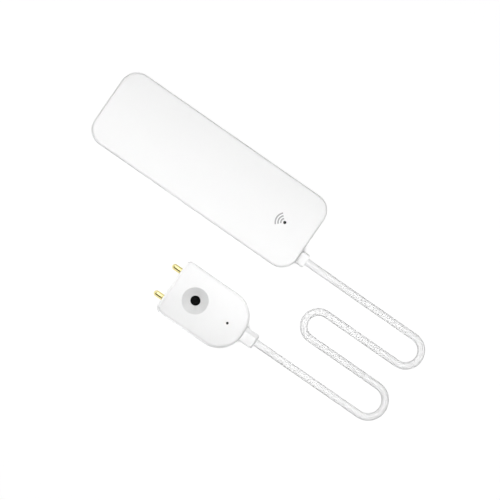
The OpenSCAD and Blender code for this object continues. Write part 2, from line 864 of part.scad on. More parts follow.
module bridge_plate() {
    color("silver") {
        box([bay_x, -plate_half, plate_z], [far_face, plate_half, plate_top]);
        translate([far_face, cell_y, cell_z])
            dimple();
    }
}

// Contact plate at the board's end, with its solder tail
module near_plate(y) {
    box([near_face, y - plate_w / 2, plate_z], [near_face + plate_t, y + plate_w / 2, plate_top]);
    box(
        [near_face + plate_t / 2, y - tail_w / 2, board_top],
        [board_x0 + tail_on_board, y + tail_w / 2, board_top + plate_t]
    );
}

module positive_plate() {
    color("silver") {
        near_plate(-cell_y);
        translate([near_face, -cell_y, cell_z])
            mirror([1, 0, 0])
                dimple();
    }
}

module negative_plate() {
    color("silver")
        near_plate(cell_y);
}

// Contact spring along +X from its plate
module spring() {
    translate([spring_wire_d / 2 + slip_gap, 0, 0])
        tube(spring_line, spring_wire_d, spring_sides, [1, 0, 0]);
}

module bridge_spring() {
    color("silver")
        translate([far_face, -cell_y, cell_z])
            spring();
}

module negative_spring() {
    color("silver")
        translate([near_face, cell_y, cell_z])
            mirror([1, 0, 0])
                spring();
}

module main_board() {
    color("seagreen")
        difference() {
            translate([0, 0, board_z])
                linear_extrude(board_t)
                    outline(board_x0, board_x1, board_w, board_corner_r, board_corner_r);
            for (p = screw_places)
                translate([p[0], p[1], board_z - eps])
                    cylinder(d = screw_d + 2 * screw_gap, h = board_t + 2 * eps);
            box(
                [board_x1 - lead_notch_l, gland_y - lead_notch_w / 2, board_z - eps],
                [board_x1 + eps, gland_y + lead_notch_w / 2, board_top + eps]
            );
        }
}

module radio_module() {
    color("darkgreen")
        translate([module_x, module_y, board_top])
            cube([module_l, module_w, module_t]);
}

module radio_shield() {
    low = [module_x + (module_l - shield_l) / 2, module_y + shield_margin, module_top];
    high = low + [shield_l, shield_w, shield_h];
    color("silver")
        difference() {
            box(low, high);
            box(low + [shield_t, shield_t, -eps], high - [shield_t, shield_t, shield_t]);
        }
}

module status_led() {
    color("lightyellow")
        translate([status_x - led_l / 2, -led_w / 2, board_top])
            cube([led_l, led_w, led_h]);
}

module board_components() {
    color("dimgray")
        translate([0, 0, board_top]) {
            for (c = strip_rows)
                translate([module_x + c[0] - c[2] / 2, strip_y + c[1] * strip_w - c[3] / 2, 0])
                    cube([c[2], c[3], c[4]]);
            for (c = light_rows)
                translate([status_x + c[0] - c[2] / 2, c[1] - c[3] / 2, 0])
                    cube([c[2], c[3], c[4]]);
            for (c = end_rows)
                translate([board_x1 + c[0] - c[2] / 2, c[1] - c[3] / 2, 0])
                    cube([c[2], c[3], c[4]]);
        }
}

module pairing_switch() {
    color("dimgray")
        translate([switch_x, switch_y, 0])
            difference() {
                translate([-switch_w / 2, -switch_w / 2, board_top])
                    cube([switch_w, switch_w, switch_h]);
                translate([0, 0, switch_top - pair_depth - pair_travel - pair_gap])
                    cylinder(d = pair_d + 2 * pair_gap, h = switch_h);
            }
}

module pairing_button() {
    color("black")
        translate([switch_x, switch_y, switch_top - pair_depth])
            cylinder(d = pair_d, h = pair_depth + pair_h);
}

module cord_socket() {
    low = [socket_x, gland_y - socket_w / 2, board_top];
    high = low + [socket_l, socket_w, socket_h];
    color("ivory")
        difference() {
            box(low, high);
            box(low + [socket_wall, socket_wall, socket_wall], high + [eps, -socket_wall, -socket_wall]);
        }
}

module cord_plug() {
    inset = socket_wall + slip_gap;
    color("ivory")
        box(
            [socket_x + inset, gland_y - socket_w / 2 + inset, board_top + inset],
            [plug_x1, gland_y + socket_w / 2 - inset, board_top + socket_h - inset]
        );
}

module main_leads() {
    color("darkred")
        for (s = [-1, 1])
            tube(
                smooth_route(
                    [
                        [flange_x0, gland_y + s * lead_pitch / 2, gland_z],
                        [flange_x0 - lead_straight, gland_y + s * lead_pitch / 2, gland_z],
                        [flange_x0 - 2 * lead_straight, gland_y + s * lead_pitch / 2, gland_z],
                        [plug_x1 + 2 * lead_straight, gland_y + s * plug_pitch / 2, socket_z],
                        [plug_x1 + lead_straight, gland_y + s * plug_pitch / 2, socket_z],
                        [plug_x1, gland_y + s * plug_pitch / 2, socket_z]
                    ],
                    lead_steps
                ),
                lead_d, cord_sides, [0, 0, 1]
            );
}

// Screw along -Z from the underside of its head
module screw(head_h, length) {
    difference() {
        union() {
            cylinder(d = screw_head_d, h = head_h);
            translate([0, 0, -length])
                cylinder(d = screw_d, h = length + head_h / 2);
        }
        for (a = [0, 90])
            rotate([0, 0, a])
                translate([-recess_l / 2, -recess_w / 2, head_h - recess_d])
                    cube([recess_l, recess_w, recess_d + eps]);
    }
}

module board_screws() {
    color("darkgray")
        for (p = screw_places)
            translate([p[0], p[1], board_top])
                screw(screw_head_h, board_top - pilot_floor - screw_gap);
}

module sensor_cord() {
    color("white")
        tube(cord_route, cord_d, cord_sides, [0, 0, 1]);
}

// Probe screws stand on both sides of the middle line
module at_probe_screws() {
    for (s = [-1, 1])
        translate([probe_row_x, s * probe_row_y, 0])
            children();
}

module at_pins() {
    for (s = [-1, 1])
        translate([0, s * pin_pitch / 2, pin_z])
            rotate([0, 90, 0])
                children();
}

module probe_top() {
    color("white")
        at_probe()
            difference() {
                union() {
                    difference() {
                        translate([0, 0, probe_base_t])
                            soft_block(
                                0, probe_l, probe_w, probe_corner_r, nose_end_r,
                                probe_h - probe_base_t, probe_edge_r
                            );
                        probe_prism(probe_wall, probe_base_t - eps, probe_in_z);
                    }
                    translate([hole_x, 0, sink_boss_z])
                        cylinder(d = sink_boss_d, h = probe_in_z - sink_boss_z + eps);
                    translate([hole_x, 0, 0])
                        cylinder(d = sleeve_d, h = probe_in_z);
                    at_probe_screws()
                        translate([0, 0, probe_boss_z])
                            cylinder(d = probe_boss_d, h = probe_in_z - probe_boss_z + eps);
                    translate([light_x, 0, probe_in_z - probe_pipe_boss_h])
                        cylinder(
                            d = probe_pipe_d + 2 * slip_gap + 2 * pipe_boss_wall,
                            h = probe_pipe_boss_h + eps
                        );
                }
                translate([hole_x, 0, -eps])
                    cylinder(d = bore_d, h = probe_h);
                translate([hole_x, 0, sink_z])
                    cylinder(d1 = bore_d, d2 = sink_d, h = sink_h);
                at_pins()
                    translate([0, 0, -eps])
                        cylinder(d = pin_d + 2 * slip_gap, h = probe_wall + 2 * eps);
                box(
                    [
                        boot_flange_x1 - eps,
                        -boot_neck_w / 2 - slip_gap,
                        boot_z - boot_neck_h / 2 - slip_gap
                    ],
                    [
                        probe_l + eps,
                        boot_neck_w / 2 + slip_gap,
                        boot_z + boot_neck_h / 2 + slip_gap
                    ]
                );
                at_probe_screws()
                    translate([0, 0, probe_boss_z - eps])
                        cylinder(
                            d = screw_d + 2 * slip_gap,
                            h = probe_head_z + probe_screw_l - probe_boss_z + 2 * eps
                        );
                translate([light_x, 0, probe_in_z - probe_pipe_boss_h - eps])
                    cylinder(d = probe_pipe_d + 2 * slip_gap, h = probe_pipe_boss_h + eps);
                translate([light_x, 0, probe_in_z - eps])
                    cylinder(d = probe_light_d + slip_gap, h = probe_top_t + 2 * eps);
            }
}

module probe_base() {
    color("whitesmoke")
        at_probe()
            difference() {
                union() {
                    translate([0, 0, probe_base_t])
                        mirror([0, 0, 1])
                            soft_block(
                                0, probe_l, probe_w, probe_corner_r, nose_end_r,
                                probe_base_t, probe_base_edge_r
                            );
                    probe_ring(seal_in + slip_gap, tongue_in, probe_base_t - eps, seal_top);
                    for (s = [-1, 1])
                        translate([hole_x, s * probe_pad_y, probe_base_t - eps])
                            cylinder(d = probe_pad_d, h = probe_board_rise + eps);
                }
                translate([hole_x, 0, -eps])
                    cylinder(d = sleeve_d + 2 * slip_gap, h = probe_base_t + 2 * eps);
                at_probe_screws() {
                    translate([0, 0, -eps])
                        cylinder(d = screw_d + 2 * screw_gap, h = probe_base_t + 2 * eps);
                    translate([0, 0, -eps])
                        cylinder(d = screw_head_d + 2 * head_gap, h = probe_head_z + eps);
                }
            }
}

module probe_seal() {
    color("dimgray")
        at_probe()
            probe_ring(probe_wall + slip_gap, seal_in, probe_base_t, seal_top);
}

module probe_board() {
    x1 = boot_flange_x0 - probe_board_gap;
    wide_x1 = probe_row_x - probe_boss_d / 2 - probe_board_gap;
    tongue = probe_row_y - probe_boss_d / 2 - probe_board_gap;
    color("seagreen")
        at_probe()
            difference() {
                intersection() {
                    union() {
                        box(
                            [probe_board_in, probe_board_in - probe_w / 2, probe_board_z],
                            [wide_x1, probe_w / 2 - probe_board_in, probe_board_top]
                        );
                        box(
                            [wide_x1 - eps, -tongue, probe_board_z],
                            [x1, tongue, probe_board_top]
                        );
                    }
                    probe_prism(probe_board_in, probe_board_z - eps, probe_board_top + eps);
                }
                translate([hole_x, 0, probe_board_z - eps])
                    cylinder(d = sleeve_d + 2 * probe_board_gap, h = probe_board_t + 2 * eps);
            }
}

// Contact pin with a domed tip, turned about X from its tip
module contact_pin(s) {
    at_probe()
        translate([-pin_out, s * pin_pitch / 2, pin_z])
            rotate([90, 0, 90])
                rotate_extrude() {
                    translate([0, pin_d / 2])
                        mirror([0, 1, 0])
                            quarter(pin_d / 2);
                    translate([0, pin_d / 2])
                        square([pin_d / 2, pin_out + pin_in - pin_d / 2]);
                    translate([0, pin_out + collar_x])
                        square([collar_d / 2, collar_t]);
                }
}

module contact_pin_left() {
    color("gold")
        contact_pin(1);
}

module contact_pin_right() {
    color("gold")
        contact_pin(-1);
}

module pin_seals() {
    color("dimgray")
        at_probe()
            at_pins()
                translate([0, 0, pin_seal_x])
                    difference() {
                        cylinder(d = collar_d, h = pin_seal_t);
                        translate([0, 0, -eps])
                            cylinder(d = pin_d + 2 * slip_gap, h = pin_seal_t + 2 * eps);
                    }
}

module probe_led() {
    color("lightyellow")
        at_probe()
            translate([light_x - probe_led_l / 2, -probe_led_w / 2, probe_board_top])
                cube([probe_led_l, probe_led_w, probe_led_h]);
}

module probe_light_pipe() {
    color("black")
        at_probe()
            translate([light_x, 0, 0]) {
                translate([0, 0, probe_pipe_z])
                    cylinder(d = probe_pipe_d, h = probe_in_z - probe_pipe_z);
                translate([0, 0, probe_in_z - eps])
                    cylinder(d = probe_light_d, h = probe_top_t + eps);
            }
}

module probe_boot() {
    color("white")
        at_probe()
            translate([0, 0, boot_z]) {
                difference() {
                    stub(probe_l - 2 * gland_edge_r, probe_l + boot_l, boot_w, boot_h, gland_edge_r);
                    probe_prism(-slip_gap, -boot_h, boot_h);
                }
                box(
                    [boot_flange_x1 - eps, -boot_neck_w / 2, -boot_neck_h / 2],
                    [probe_l + eps, boot_neck_w / 2, boot_neck_h / 2]
                );
                box(
                    [boot_flange_x0, -boot_flange_w / 2, -boot_neck_h / 2],
                    [boot_flange_x1, boot_flange_w / 2, boot_neck_h / 2]
                );
            }
}

module probe_leads() {
    rest_z = probe_board_top + lead_d / 2;
    rest_x = light_x + probe_led_l / 2;
    color("darkred")
        at_probe()
            for (s = [-1, 1])
                tube(
                    smooth_route(
                        [
                            [boot_flange_x0, s * lead_pitch / 2, boot_z],
                            [boot_flange_x0 - lead_straight, s * lead_pitch / 2, boot_z],
                            [boot_flange_x0 - 2 * lead_straight, s * lead_pitch / 2, boot_z],
                            [rest_x, s * solder_pitch / 2, rest_z],
                            [rest_x - solder_l, s * solder_pitch / 2, rest_z]
                        ],
                        lead_steps
                    ),
                    lead_d, cord_sides, [0, 0, 1]
                );
}

module probe_screws() {
    color("darkgray")
        at_probe()
            at_probe_screws()
                translate([0, 0, probe_head_z])
                    mirror([0, 0, 1])
                        screw(probe_head_h, probe_screw_l);
}

rear_base();
front_cover();
status_light_pipe();
main_gland();
cell_a();
cell_b();
bridge_plate();
bridge_spring();
positive_plate();
negative_plate();
negative_spring();
main_board();
radio_module();
radio_shield();
status_led();
board_components();
pairing_switch();
pairing_button();
cord_socket();
cord_plug();
main_leads();
board_screws();
sensor_cord();
probe_top();
probe_base();
probe_seal();
probe_board();
contact_pin_left();
contact_pin_right();
pin_seals();
probe_led();
probe_light_pipe();
probe_boot();
probe_leads();
probe_screws();
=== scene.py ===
"""Looks of a corded water leak sensor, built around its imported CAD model."""

import math

import bmesh
import bpy
from mathutils import Matrix, Vector


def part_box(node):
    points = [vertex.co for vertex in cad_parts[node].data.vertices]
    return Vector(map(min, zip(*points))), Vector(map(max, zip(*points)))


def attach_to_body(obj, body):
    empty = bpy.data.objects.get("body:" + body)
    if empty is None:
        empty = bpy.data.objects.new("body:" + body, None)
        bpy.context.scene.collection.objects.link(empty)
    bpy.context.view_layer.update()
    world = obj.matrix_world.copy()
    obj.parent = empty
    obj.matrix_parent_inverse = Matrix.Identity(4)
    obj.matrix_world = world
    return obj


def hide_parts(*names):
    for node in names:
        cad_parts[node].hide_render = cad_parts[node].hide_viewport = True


bl_info = {
    "name": "Water leak sensor",
    "version": (1, 0, 0),
    "blender": (4, 5, 0),
    "location": "3D View > Sidebar > Leak sensor",
    "description": "Builds the looks of a corded water leak sensor around its CAD model",
    "category": "Object",
}

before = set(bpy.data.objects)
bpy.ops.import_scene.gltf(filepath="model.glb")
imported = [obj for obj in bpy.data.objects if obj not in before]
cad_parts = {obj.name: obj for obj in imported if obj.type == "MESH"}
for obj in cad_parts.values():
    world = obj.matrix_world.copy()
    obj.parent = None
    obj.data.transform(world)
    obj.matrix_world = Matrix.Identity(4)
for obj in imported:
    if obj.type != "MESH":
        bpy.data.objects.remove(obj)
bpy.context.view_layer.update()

MM = 0.001

# Distance in metres within which points of a CAD mesh are one
WELD = 1e-6

# Turns a shape made around Z so that it lies along X: its Z becomes X, its X becomes Y
LIES_ALONG_X = Matrix(((0, 0, 1, 0), (1, 0, 0, 0), (0, 1, 0, 0), (0, 0, 0, 1)))

# Half turns of the cord, as in the part's source: place of the centre along X in millimetres, then the
# share that the turn takes of the distance between the gland's and the boot's middle lines
CORD_TURNS = ((99.4, 0.332), (67.3, 0.308), (98.5, 0.36))

# The probe's countersink, where the shell gets painted shade: place of its axis and its radius, in
# millimetres
SINK = (23.6, -43.3, 5.1)


def linear(hex_colour):
    """Turns an sRGB hex colour to linear red, green, blue and alpha."""
    steps = [int(hex_colour[i:i + 2], 16) / 255 for i in (1, 3, 5)]
    return [s / 12.92 if s <= 0.04045 else ((s + 0.055) / 1.055) ** 2.4 for s in steps] + [1.0]


def node(tree, kind, inputs=None, **settings):
    """Adds a shader node and sets or links its inputs, where a node stands for its first output."""
    made = tree.nodes.new("ShaderNode" + kind)
    for name, value in settings.items():
        setattr(made, name, value)
    for name, value in (inputs or {}).items():
        if isinstance(value, bpy.types.Node):
            value = value.outputs[0]
        if isinstance(value, bpy.types.NodeSocket):
            tree.links.new(value, made.inputs[name])
        else:
            made.inputs[name].default_value = value
    return made


# Settings


def number(name, description, low, default, high, **kind):
    """Makes a number setting with a unit or a subtype."""
    return bpy.props.FloatProperty(
        name=name, description=description, min=low, max=high, default=default, precision=5, **kind,
    )


def length(name, description, low, default, high):
    """Makes a length setting from values in millimetres."""
    return number(name, description, low * MM, default * MM, high * MM, unit="LENGTH")


def angle(name, description, low, default, high):
    """Makes an angle setting from values in degrees."""
    return number(name, description, *map(math.radians, (low, default, high)), subtype="ANGLE")


def colour(name, description, hex_colour):
    """Makes a colour setting."""
    return bpy.props.FloatVectorProperty(
        name=name, description=description, subtype="COLOR", size=4, min=0, max=1, default=linear(hex_colour),
    )


def group(kind, name, description):
    """Makes a setting that holds a group of settings."""
    return bpy.props.PointerProperty(type=kind, name=name, description=description)


class ShellSettings(bpy.types.PropertyGroup):
    """Moulded shells of the main unit and the probe."""

    tint: colour("Shell colour", "Colour of the moulded shells", "#EAEAEA")
    grit: length("Mould grit", "Grain that the mould's surface leaves on the shells", 0.1, 0.35, 1)
    roughness: number("Shell roughness", "Roughness of the satin shells", 0.1, 0.42, 1, subtype="FACTOR")


class CordSettings(bpy.types.PropertyGroup):
    """Cord, gland, boot and lead wires."""

    diameter: length("Cord diameter", "Outer diameter of the cord's sheath", 2.2, 2.8, 3)
    lead_diameter: length("Lead diameter", "Outer diameter of a lead wire in unit and probe", 0.8, 1.1, 1.2)
    tint: colour("Sheath colour", "Colour of the cord's sheath", "#F6F6F6")
    fitting_tint: colour("Fitting colour", "Colour of the gland and the boot", "#F0F0F0")
    lead_tint: colour("First lead colour", "Colour of the positive lead wire", "#B3211C")
    return_tint: colour("Second lead colour", "Colour of the return lead wire", "#1D1D1F")


class MarkSettings(bpy.types.PropertyGroup):
    """Signal mark printed beside the status light, and the light itself."""

    first_radius: length("First arc", "Radius of the smallest arc at the middle of its stroke", 1, 1.5, 2)
    spacing: length("Arc spacing", "Distance from one arc to the next", 0.8, 1.035, 2)
    stroke: length("Arc stroke", "Width of an arc's stroke", 0.2, 0.55, 0.8)
    spread: angle("Arc spread", "Angle that each arc covers", 60, 90, 120)
    ink: colour("Ink colour", "Colour of the printed arcs", "#9E9E9E")
    lens: colour("Lens colour", "Colour of the smoked light pipes", "#141414")


class PinSettings(bpy.types.PropertyGroup):
    """Contact pins of the probe."""

    tint: colour("Pin colour", "Colour of the plated pins", "#EEE3A6")
    line: length("Turning lines", "Distance between the lines from turning on the pins", 0.05, 0.2, 0.5)


class CellSettings(bpy.types.PropertyGroup):
    """Cells, their springs and the contact plates."""

    film: colour("Film colour", "Main colour of the cells' film", "#C9CED2")
    band: colour("Band colour", "Colour of the band at the positive end", "#1F6F78")
    plating: colour("Plating colour", "Colour of the nickel plating on springs, plates and screws", "#C6C4BE")


class BoardSettings(bpy.types.PropertyGroup):
    """Main board, radio module and what is soldered on them."""

    mask: colour("Board mask", "Colour of the boards' solder mask", "#14603A")
    module_mask: colour("Module mask", "Colour of the radio module's solder mask", "#1A2430")
    legend: colour("Legend colour", "Colour of the lines printed on the board", "#E4E6E2")
    track: length("Track width", "Width of a copper track", 0.15, 0.32, 0.6)
    nylon: colour("Connector colour", "Colour of the cord's socket and plug", "#E9E2CF")


class StageSettings(bpy.types.PropertyGroup):
    """Camera, light and floor."""

    view_width: length("View width", "Width of what the camera sees at half the unit's height", 100, 188, 500)
    turn: angle("Camera turn", "Turn of the camera about the vertical", -180, 34.83, 180)
    lens: number("Lens", "Focal length of the camera in millimetres", 35, 300, 600, subtype="DISTANCE_CAMERA")
    floor: colour("Floor colour", "Colour of the floor as the object is lit by it", "#8A8A8A")
    horizon: number("Horizon level", "Light of the surround at the horizon, where 1 is white", 0, 0.45, 1)
    zenith: number("Zenith level", "Light of the surround overhead, where 1 is white", 0, 0.2, 1)
    key_height: length("Key height", "Height of the key light over the floor", 200, 350, 2000)
    key_power: number("Key power", "Power of the key light", 0, 0.06, 5, unit="POWER")
    key_spread: angle("Key spread", "Angle of the key light's beam", 5, 38, 180)
    soft_power: number("Soft box power", "Power of the soft box over the key light", 0, 0.26, 5, unit="POWER")
    fill_power: number(
        "Fill power", "Power of the small lamps, of which each has its share", 0, 0.0007, 0.1, unit="POWER",
    )


class LeakSensorSettings(bpy.types.PropertyGroup):
    """All settings of the leak sensor."""

    shell: group(ShellSettings, "Shells", "Moulded shells")
    cord: group(CordSettings, "Cord", "Cord and leads")
    mark: group(MarkSettings, "Mark", "Signal mark and lights")
    pins: group(PinSettings, "Pins", "Contact pins")
    cells: group(CellSettings, "Cells", "Cells and contacts")
    board: group(BoardSettings, "Board", "Boards and parts")
    stage: group(StageSettings, "Stage", "Camera and light")


# Materials


def blank(name):
    """Makes a material with an empty node tree."""
    made = bpy.data.materials.new(name)
    made.use_nodes = True
    made.node_tree.nodes.clear()
    return made


def surface(name, tint, roughness, grain, cloud, mottle, relief=0.15, stretch=(1, 1, 1), **sockets):
    """Makes a material with a mottled colour and a grain, both of real sizes in millimetres."""
    found = bpy.data.materials.get(name)
    if found:
        return found
    made = blank(name)
    tree = made.node_tree
    place = node(tree, "TexCoord").outputs["Object"]
    drawn = node(tree, "Mapping", {"Vector": place, "Scale": stretch})
    clouds = node(tree, "TexNoise", {"Vector": place, "Scale": 1 / (cloud * MM), "Detail": 3.0})
    grains = node(tree, "TexNoise", {"Vector": drawn, "Scale": 1 / (grain * MM), "Detail": 2.0})
    dark = [c * (1 - mottle) for c in tint[:3]] + [1.0]
    light = [min(1.0, c * (1 + mottle)) for c in tint[:3]] + [1.0]
    mottled = node(tree, "Mix", {0: clouds, 6: dark, 7: light}, data_type="RGBA")
    gloss = node(tree, "MapRange", {
        "Value": grains, "From Min": 0.3, "From Max": 0.7,
        "To Min": roughness * 0.88, "To Max": roughness * 1.12,
    })
    bump = node(tree, "Bump", {"Height": grains, "Strength": relief, "Distance": grain * MM * 0.2})
    shader = node(tree, "BsdfPrincipled", {
        "Base Color": mottled.outputs[2], "Roughness": gloss, "Normal": bump, **sockets,
    })
    node(tree, "OutputMaterial", {"Surface": shader})
    return made


def base_colour(made):
    """Gives a finish's node tree, its shader's colour socket and what feeds that socket."""
    tree = made.node_tree
    socket = next(n for n in tree.nodes if n.type == "BSDF_PRINCIPLED").inputs["Base Color"]
    return tree, socket, socket.links[0].from_socket


def moulded_abs(settings, name="ABS, satin moulded"):
    """ABS, moulded in a fine spark-eroded tool: even satin white with soft, broad highlights."""
    # The real grit is about 0.05 mm, too fine for the render, so it is drawn coarser
    shell = settings.shell
    return surface(
        name, shell.tint, shell.roughness, shell.grit / MM, cloud=18, mottle=0.006, relief=0.05, IOR=1.53,
    )


def probe_abs(settings):
    """ABS of the probe's top: the same satin white, with painted shade that makes the sink a shade greyer."""
    made = moulded_abs(settings, "ABS, satin moulded, painted sink shade")
    tree, socket, plain = base_colour(made)
    place = node(tree, "TexCoord").outputs["Object"]
    flat = node(tree, "Mapping", {
        "Vector": place, "Location": (-SINK[0] * MM, -SINK[1] * MM, 0), "Scale": (1, 1, 0),
    })
    reach = node(tree, "VectorMath", {0: flat}, operation="LENGTH")
    # Painted shade: within the sink's radius the shell's colour is made a tenth darker
    sink_shade_mask = node(tree, "Math", {0: reach.outputs["Value"], 1: SINK[2] * MM}, operation="LESS_THAN")
    painted_sink_shade = node(tree, "Mix", {
        0: sink_shade_mask, 6: plain, 7: [c * 0.9 for c in settings.shell.tint[:3]] + [1.0],
    }, data_type="RGBA")
    tree.links.new(painted_sink_shade.outputs[2], socket)
    return made


def extruded_pvc(settings):
    """Soft PVC, extruded over the two cores: white, with a silky skin that darkens towards its sides."""
    return surface(
        "PVC, extruded white", settings.cord.tint, 0.5, 0.4,
        cloud=9, mottle=0.008, relief=0.05, stretch=(0.6, 0.6, 1), IOR=1.53,
        **{"Specular IOR Level": 0.08},
    )


def moulded_pvc(settings):
    """Soft PVC, moulded over the cord's ends as gland and boot: a cleaner white than the cord."""
    return surface(
        "PVC, moulded white", settings.cord.fitting_tint, 0.5, 0.4,
        cloud=9, mottle=0.008, relief=0.05, IOR=1.53,
    )


def smoked_polycarbonate(settings):
    """Smoked polycarbonate, moulded and polished: reads as a glossy black dot."""
    return surface(
        "Polycarbonate, smoked", settings.mark.lens, 0.16, 0.3,
        cloud=1, mottle=0.25, relief=0.03, IOR=1.585, **{"Specular IOR Level": 0.2},
    )


def pad_ink(settings):
    """Pad-printed ink: a thin, flat grey film whose cover varies a little."""
    return surface(
        "Ink, pad-printed grey", settings.mark.ink, 0.6, 0.12,
        cloud=0.5, mottle=0.06, relief=0.1, IOR=1.5,
    )


def gold_plate(settings):
    """Hard gold over turned brass: polished, with faint rings from turning."""
    # Turning leaves rings about 0.05 mm apart, drawn wider so that they show
    return surface(
        "Gold plate over turned brass", settings.pins.tint, 0.08, 3,
        cloud=1.5, mottle=0.05, relief=0.12, stretch=(3 * MM / settings.pins.line, 0.4, 0.4),
        Metallic=1.0,
    )


def nickel_plate(settings):
    """Nickel-plated spring steel, rolled then stamped or wound: pale warm grey with fine streaks."""
    return surface(
        "Steel, nickel-plated", settings.cells.plating, 0.27, 0.6,
        cloud=4, mottle=0.05, relief=0.1, stretch=(1, 1, 0.15), Metallic=1.0,
    )


def tin_plate():
    """Tin-plated sheet and solder: whiter and softer than nickel, with a cloudy bloom."""
    return surface(
        "Tin plate and solder", linear("#CFD1D2"), 0.34, 0.25,
        cloud=1.2, mottle=0.07, relief=0.15, Metallic=1.0,
    )


def glass_epoxy():
    """Glass-fibre epoxy at the boards' cut edges: dull straw colour with routed streaks."""
    return surface(
        "Glass-fibre epoxy, routed", linear("#B7A56A"), 0.75, 0.2,
        cloud=2, mottle=0.1, relief=0.3, stretch=(1, 1, 3), IOR=1.5,
    )


def solder_mask(name, tint):
    """Solder mask over glass cloth: glossy lacquer that shows the cloth's weave faintly."""
    # The cloth's threads are about 0.5 mm apart
    return surface(name, tint, 0.32, 0.5, cloud=5, mottle=0.1, relief=0.12, IOR=1.55)


def black_epoxy():
    """Moulded black epoxy of chips and the switch: matt with fine grit."""
    return surface(
        "Epoxy, moulded black", linear("#1B1B1D"), 0.55, 0.15,
        cloud=2, mottle=0.15, relief=0.25, IOR=1.55,
    )


def moulded_nylon(settings):
    """Unfilled nylon, moulded: ivory and slightly waxy."""
    return surface(
        "Nylon, ivory", settings.board.nylon, 0.45, 0.3, cloud=3, mottle=0.03, relief=0.1, IOR=1.53,
    )


def silicone():
    """Silicone rubber of the seals: dull grey with a dusty surface."""
    return surface(
        "Silicone rubber, grey", linear("#8A8C8F"), 0.7, 0.25,
        cloud=3, mottle=0.06, relief=0.15, IOR=1.41,
    )


def lead_pvc(name, tint):
    """PVC insulation of a lead wire: smooth, evenly coloured and slightly glossy."""
    return surface(name, tint, 0.38, 0.3, cloud=2, mottle=0.05, relief=0.05, IOR=1.53)


def cell_film(settings):
    """Printed film shrunk over a steel can: a metallic sheen with plain bands towards the positive end."""
    made = surface(
        "Film, printed metallic", linear("#F4F4F4"), 0.3, 0.8,
        cloud=6, mottle=0.05, relief=0.06, stretch=(0.1, 1, 1), Metallic=0.55, IOR=1.5,
    )
    tree, socket, mottled = base_colour(made)
    along = node(tree, "Attribute", attribute_name="along")
    bands = node(tree, "ValToRGB", {"Fac": along.outputs["Fac"]})
    bands.color_ramp.interpolation = "CONSTANT"
    bands.color_ramp.elements[0].color = settings.cells.band
    bands.color_ramp.elements[1].position = 0.045
    bands.color_ramp.elements[1].color = settings.cells.film
    pale = linear("#F0F1EE")
    for place, tint in ((0.7, pale), (0.715, settings.cells.band), (0.9, pale)):
        bands.color_ramp.elements.new(place).color = tint
    printed = node(tree, "Mix", {
        0: 1.0, 6: mottled, 7: bands.outputs["Color"],
    }, data_type="RGBA", blend_type="MULTIPLY")
    tree.links.new(printed.outputs[2], socket)
    return made


# Mesh helpers


def box_mm(name):
    """Gives the low and high corner of a CAD node in millimetres."""
    return [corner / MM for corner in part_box(name)]


def fill_holes(part):
    """Closes a mesh where it is open."""
    bmesh.ops.holes_fill(part, edges=[edge for edge in part.edges if edge.is_boundary], sides=0)


def added(name, data):
    """Puts a new object in the scene."""
    made = bpy.data.objects.new(name, data)
    bpy.context.scene.collection.objects.link(made)
    return made


def finished_object(name, bm, finishes):
    """Makes an object of a mesh and puts it in the scene."""
    mesh = bpy.data.meshes.new(name)
    bm.to_mesh(mesh)
    bm.free()
    for finish in finishes:
        mesh.materials.append(finish)
    return added(name, mesh)


def join(bm, part, slot, place=(0, 0, 0)):
    """Adds a finished part to a piece's mesh at a place in millimetres, all in one material slot."""
    bmesh.ops.translate(part, vec=Vector(place) * MM, verts=part.verts)
    for face in part.faces:
        face.material_index = slot
    mesh = bpy.data.meshes.new("part")
    part.to_mesh(mesh)
    part.free()
    bm.from_mesh(mesh)
    bpy.data.meshes.remove(mesh)


def block(bm, first, second, edge, slot):
    """Adds a box with rounded edges between two corners in millimetres."""
    low = Vector(map(min, first, second)) * MM
    high = Vector(map(max, first, second)) * MM
    part = bmesh.new()
    bmesh.ops.create_cube(part, size=1.0)
    bmesh.ops.scale(part, vec=high - low, verts=part.verts)
    bmesh.ops.bevel(
        part, geom=part.edges[:], offset=edge * MM, offset_type="OFFSET", affect="EDGES",
        segments=2, profile=0.5, material=-1,
    )
    bmesh.ops.translate(part, vec=(low + high) / 2, verts=part.verts)
    join(bm, part, slot)


def strip(bm, points, width, z, height, slot):
    """Adds a flat strip along points in millimetres, mitred at its corners, with its underside at z."""
    loop = points[0] == points[-1]
    spots = [Vector(point) for point in points]
    ways = [(end - start).normalized() for start, end in zip(spots, spots[1:])]
    if loop:
        spots.pop()
        ways = [ways[-1], *ways]
    else:
        spots[0] -= ways[0] * width / 2
        spots[-1] += ways[-1] * width / 2
        ways = [ways[0], *ways, ways[-1]]
    part = bmesh.new()
    rings = []
    for spot, before, after in zip(spots, ways, ways[1:]):
        left = Vector((-before.y, before.x))
        mitre = (left + Vector((-after.y, after.x))).normalized()
        reach = mitre * (width / 2 / mitre.dot(left))
        rings.append([
            part.verts.new((*((spot + reach * side) * MM), (z + height * up) * MM))
            for side, up in ((1, 0), (1, 1), (-1, 1), (-1, 0))
        ])
    pairs = list(zip(rings, rings[1:]))
    if loop:
        pairs.append((rings[-1], rings[0]))
    else:
        part.faces.new(rings[0])
        part.faces.new(rings[-1])
    for near, far in pairs:
        for index in range(4):
            part.faces.new((near[index], near[index - 1], far[index - 1], far[index]))
    bmesh.ops.recalc_face_normals(part, faces=part.faces)
    join(bm, part, slot)


def turned(profile, steps, ring=False):
    """Spins points of radius and height in millimetres about Z, to a solid with closed ends or to a ring."""
    part = bmesh.new()
    verts = [part.verts.new((radius * MM, 0, height * MM)) for radius, height in profile]
    edges = [part.edges.new(pair) for pair in zip(verts, verts[1:])]
    if ring:
        edges.append(part.edges.new((verts[-1], verts[0])))
    bmesh.ops.spin(
        part, geom=verts + edges, cent=(0, 0, 0), axis=(0, 0, 1), angle=2 * math.pi, steps=steps,
        use_merge=True,
    )
    bmesh.ops.remove_doubles(part, verts=part.verts, dist=1e-7)
    fill_holes(part)
    bmesh.ops.recalc_face_normals(part, faces=part.faces)
    return part


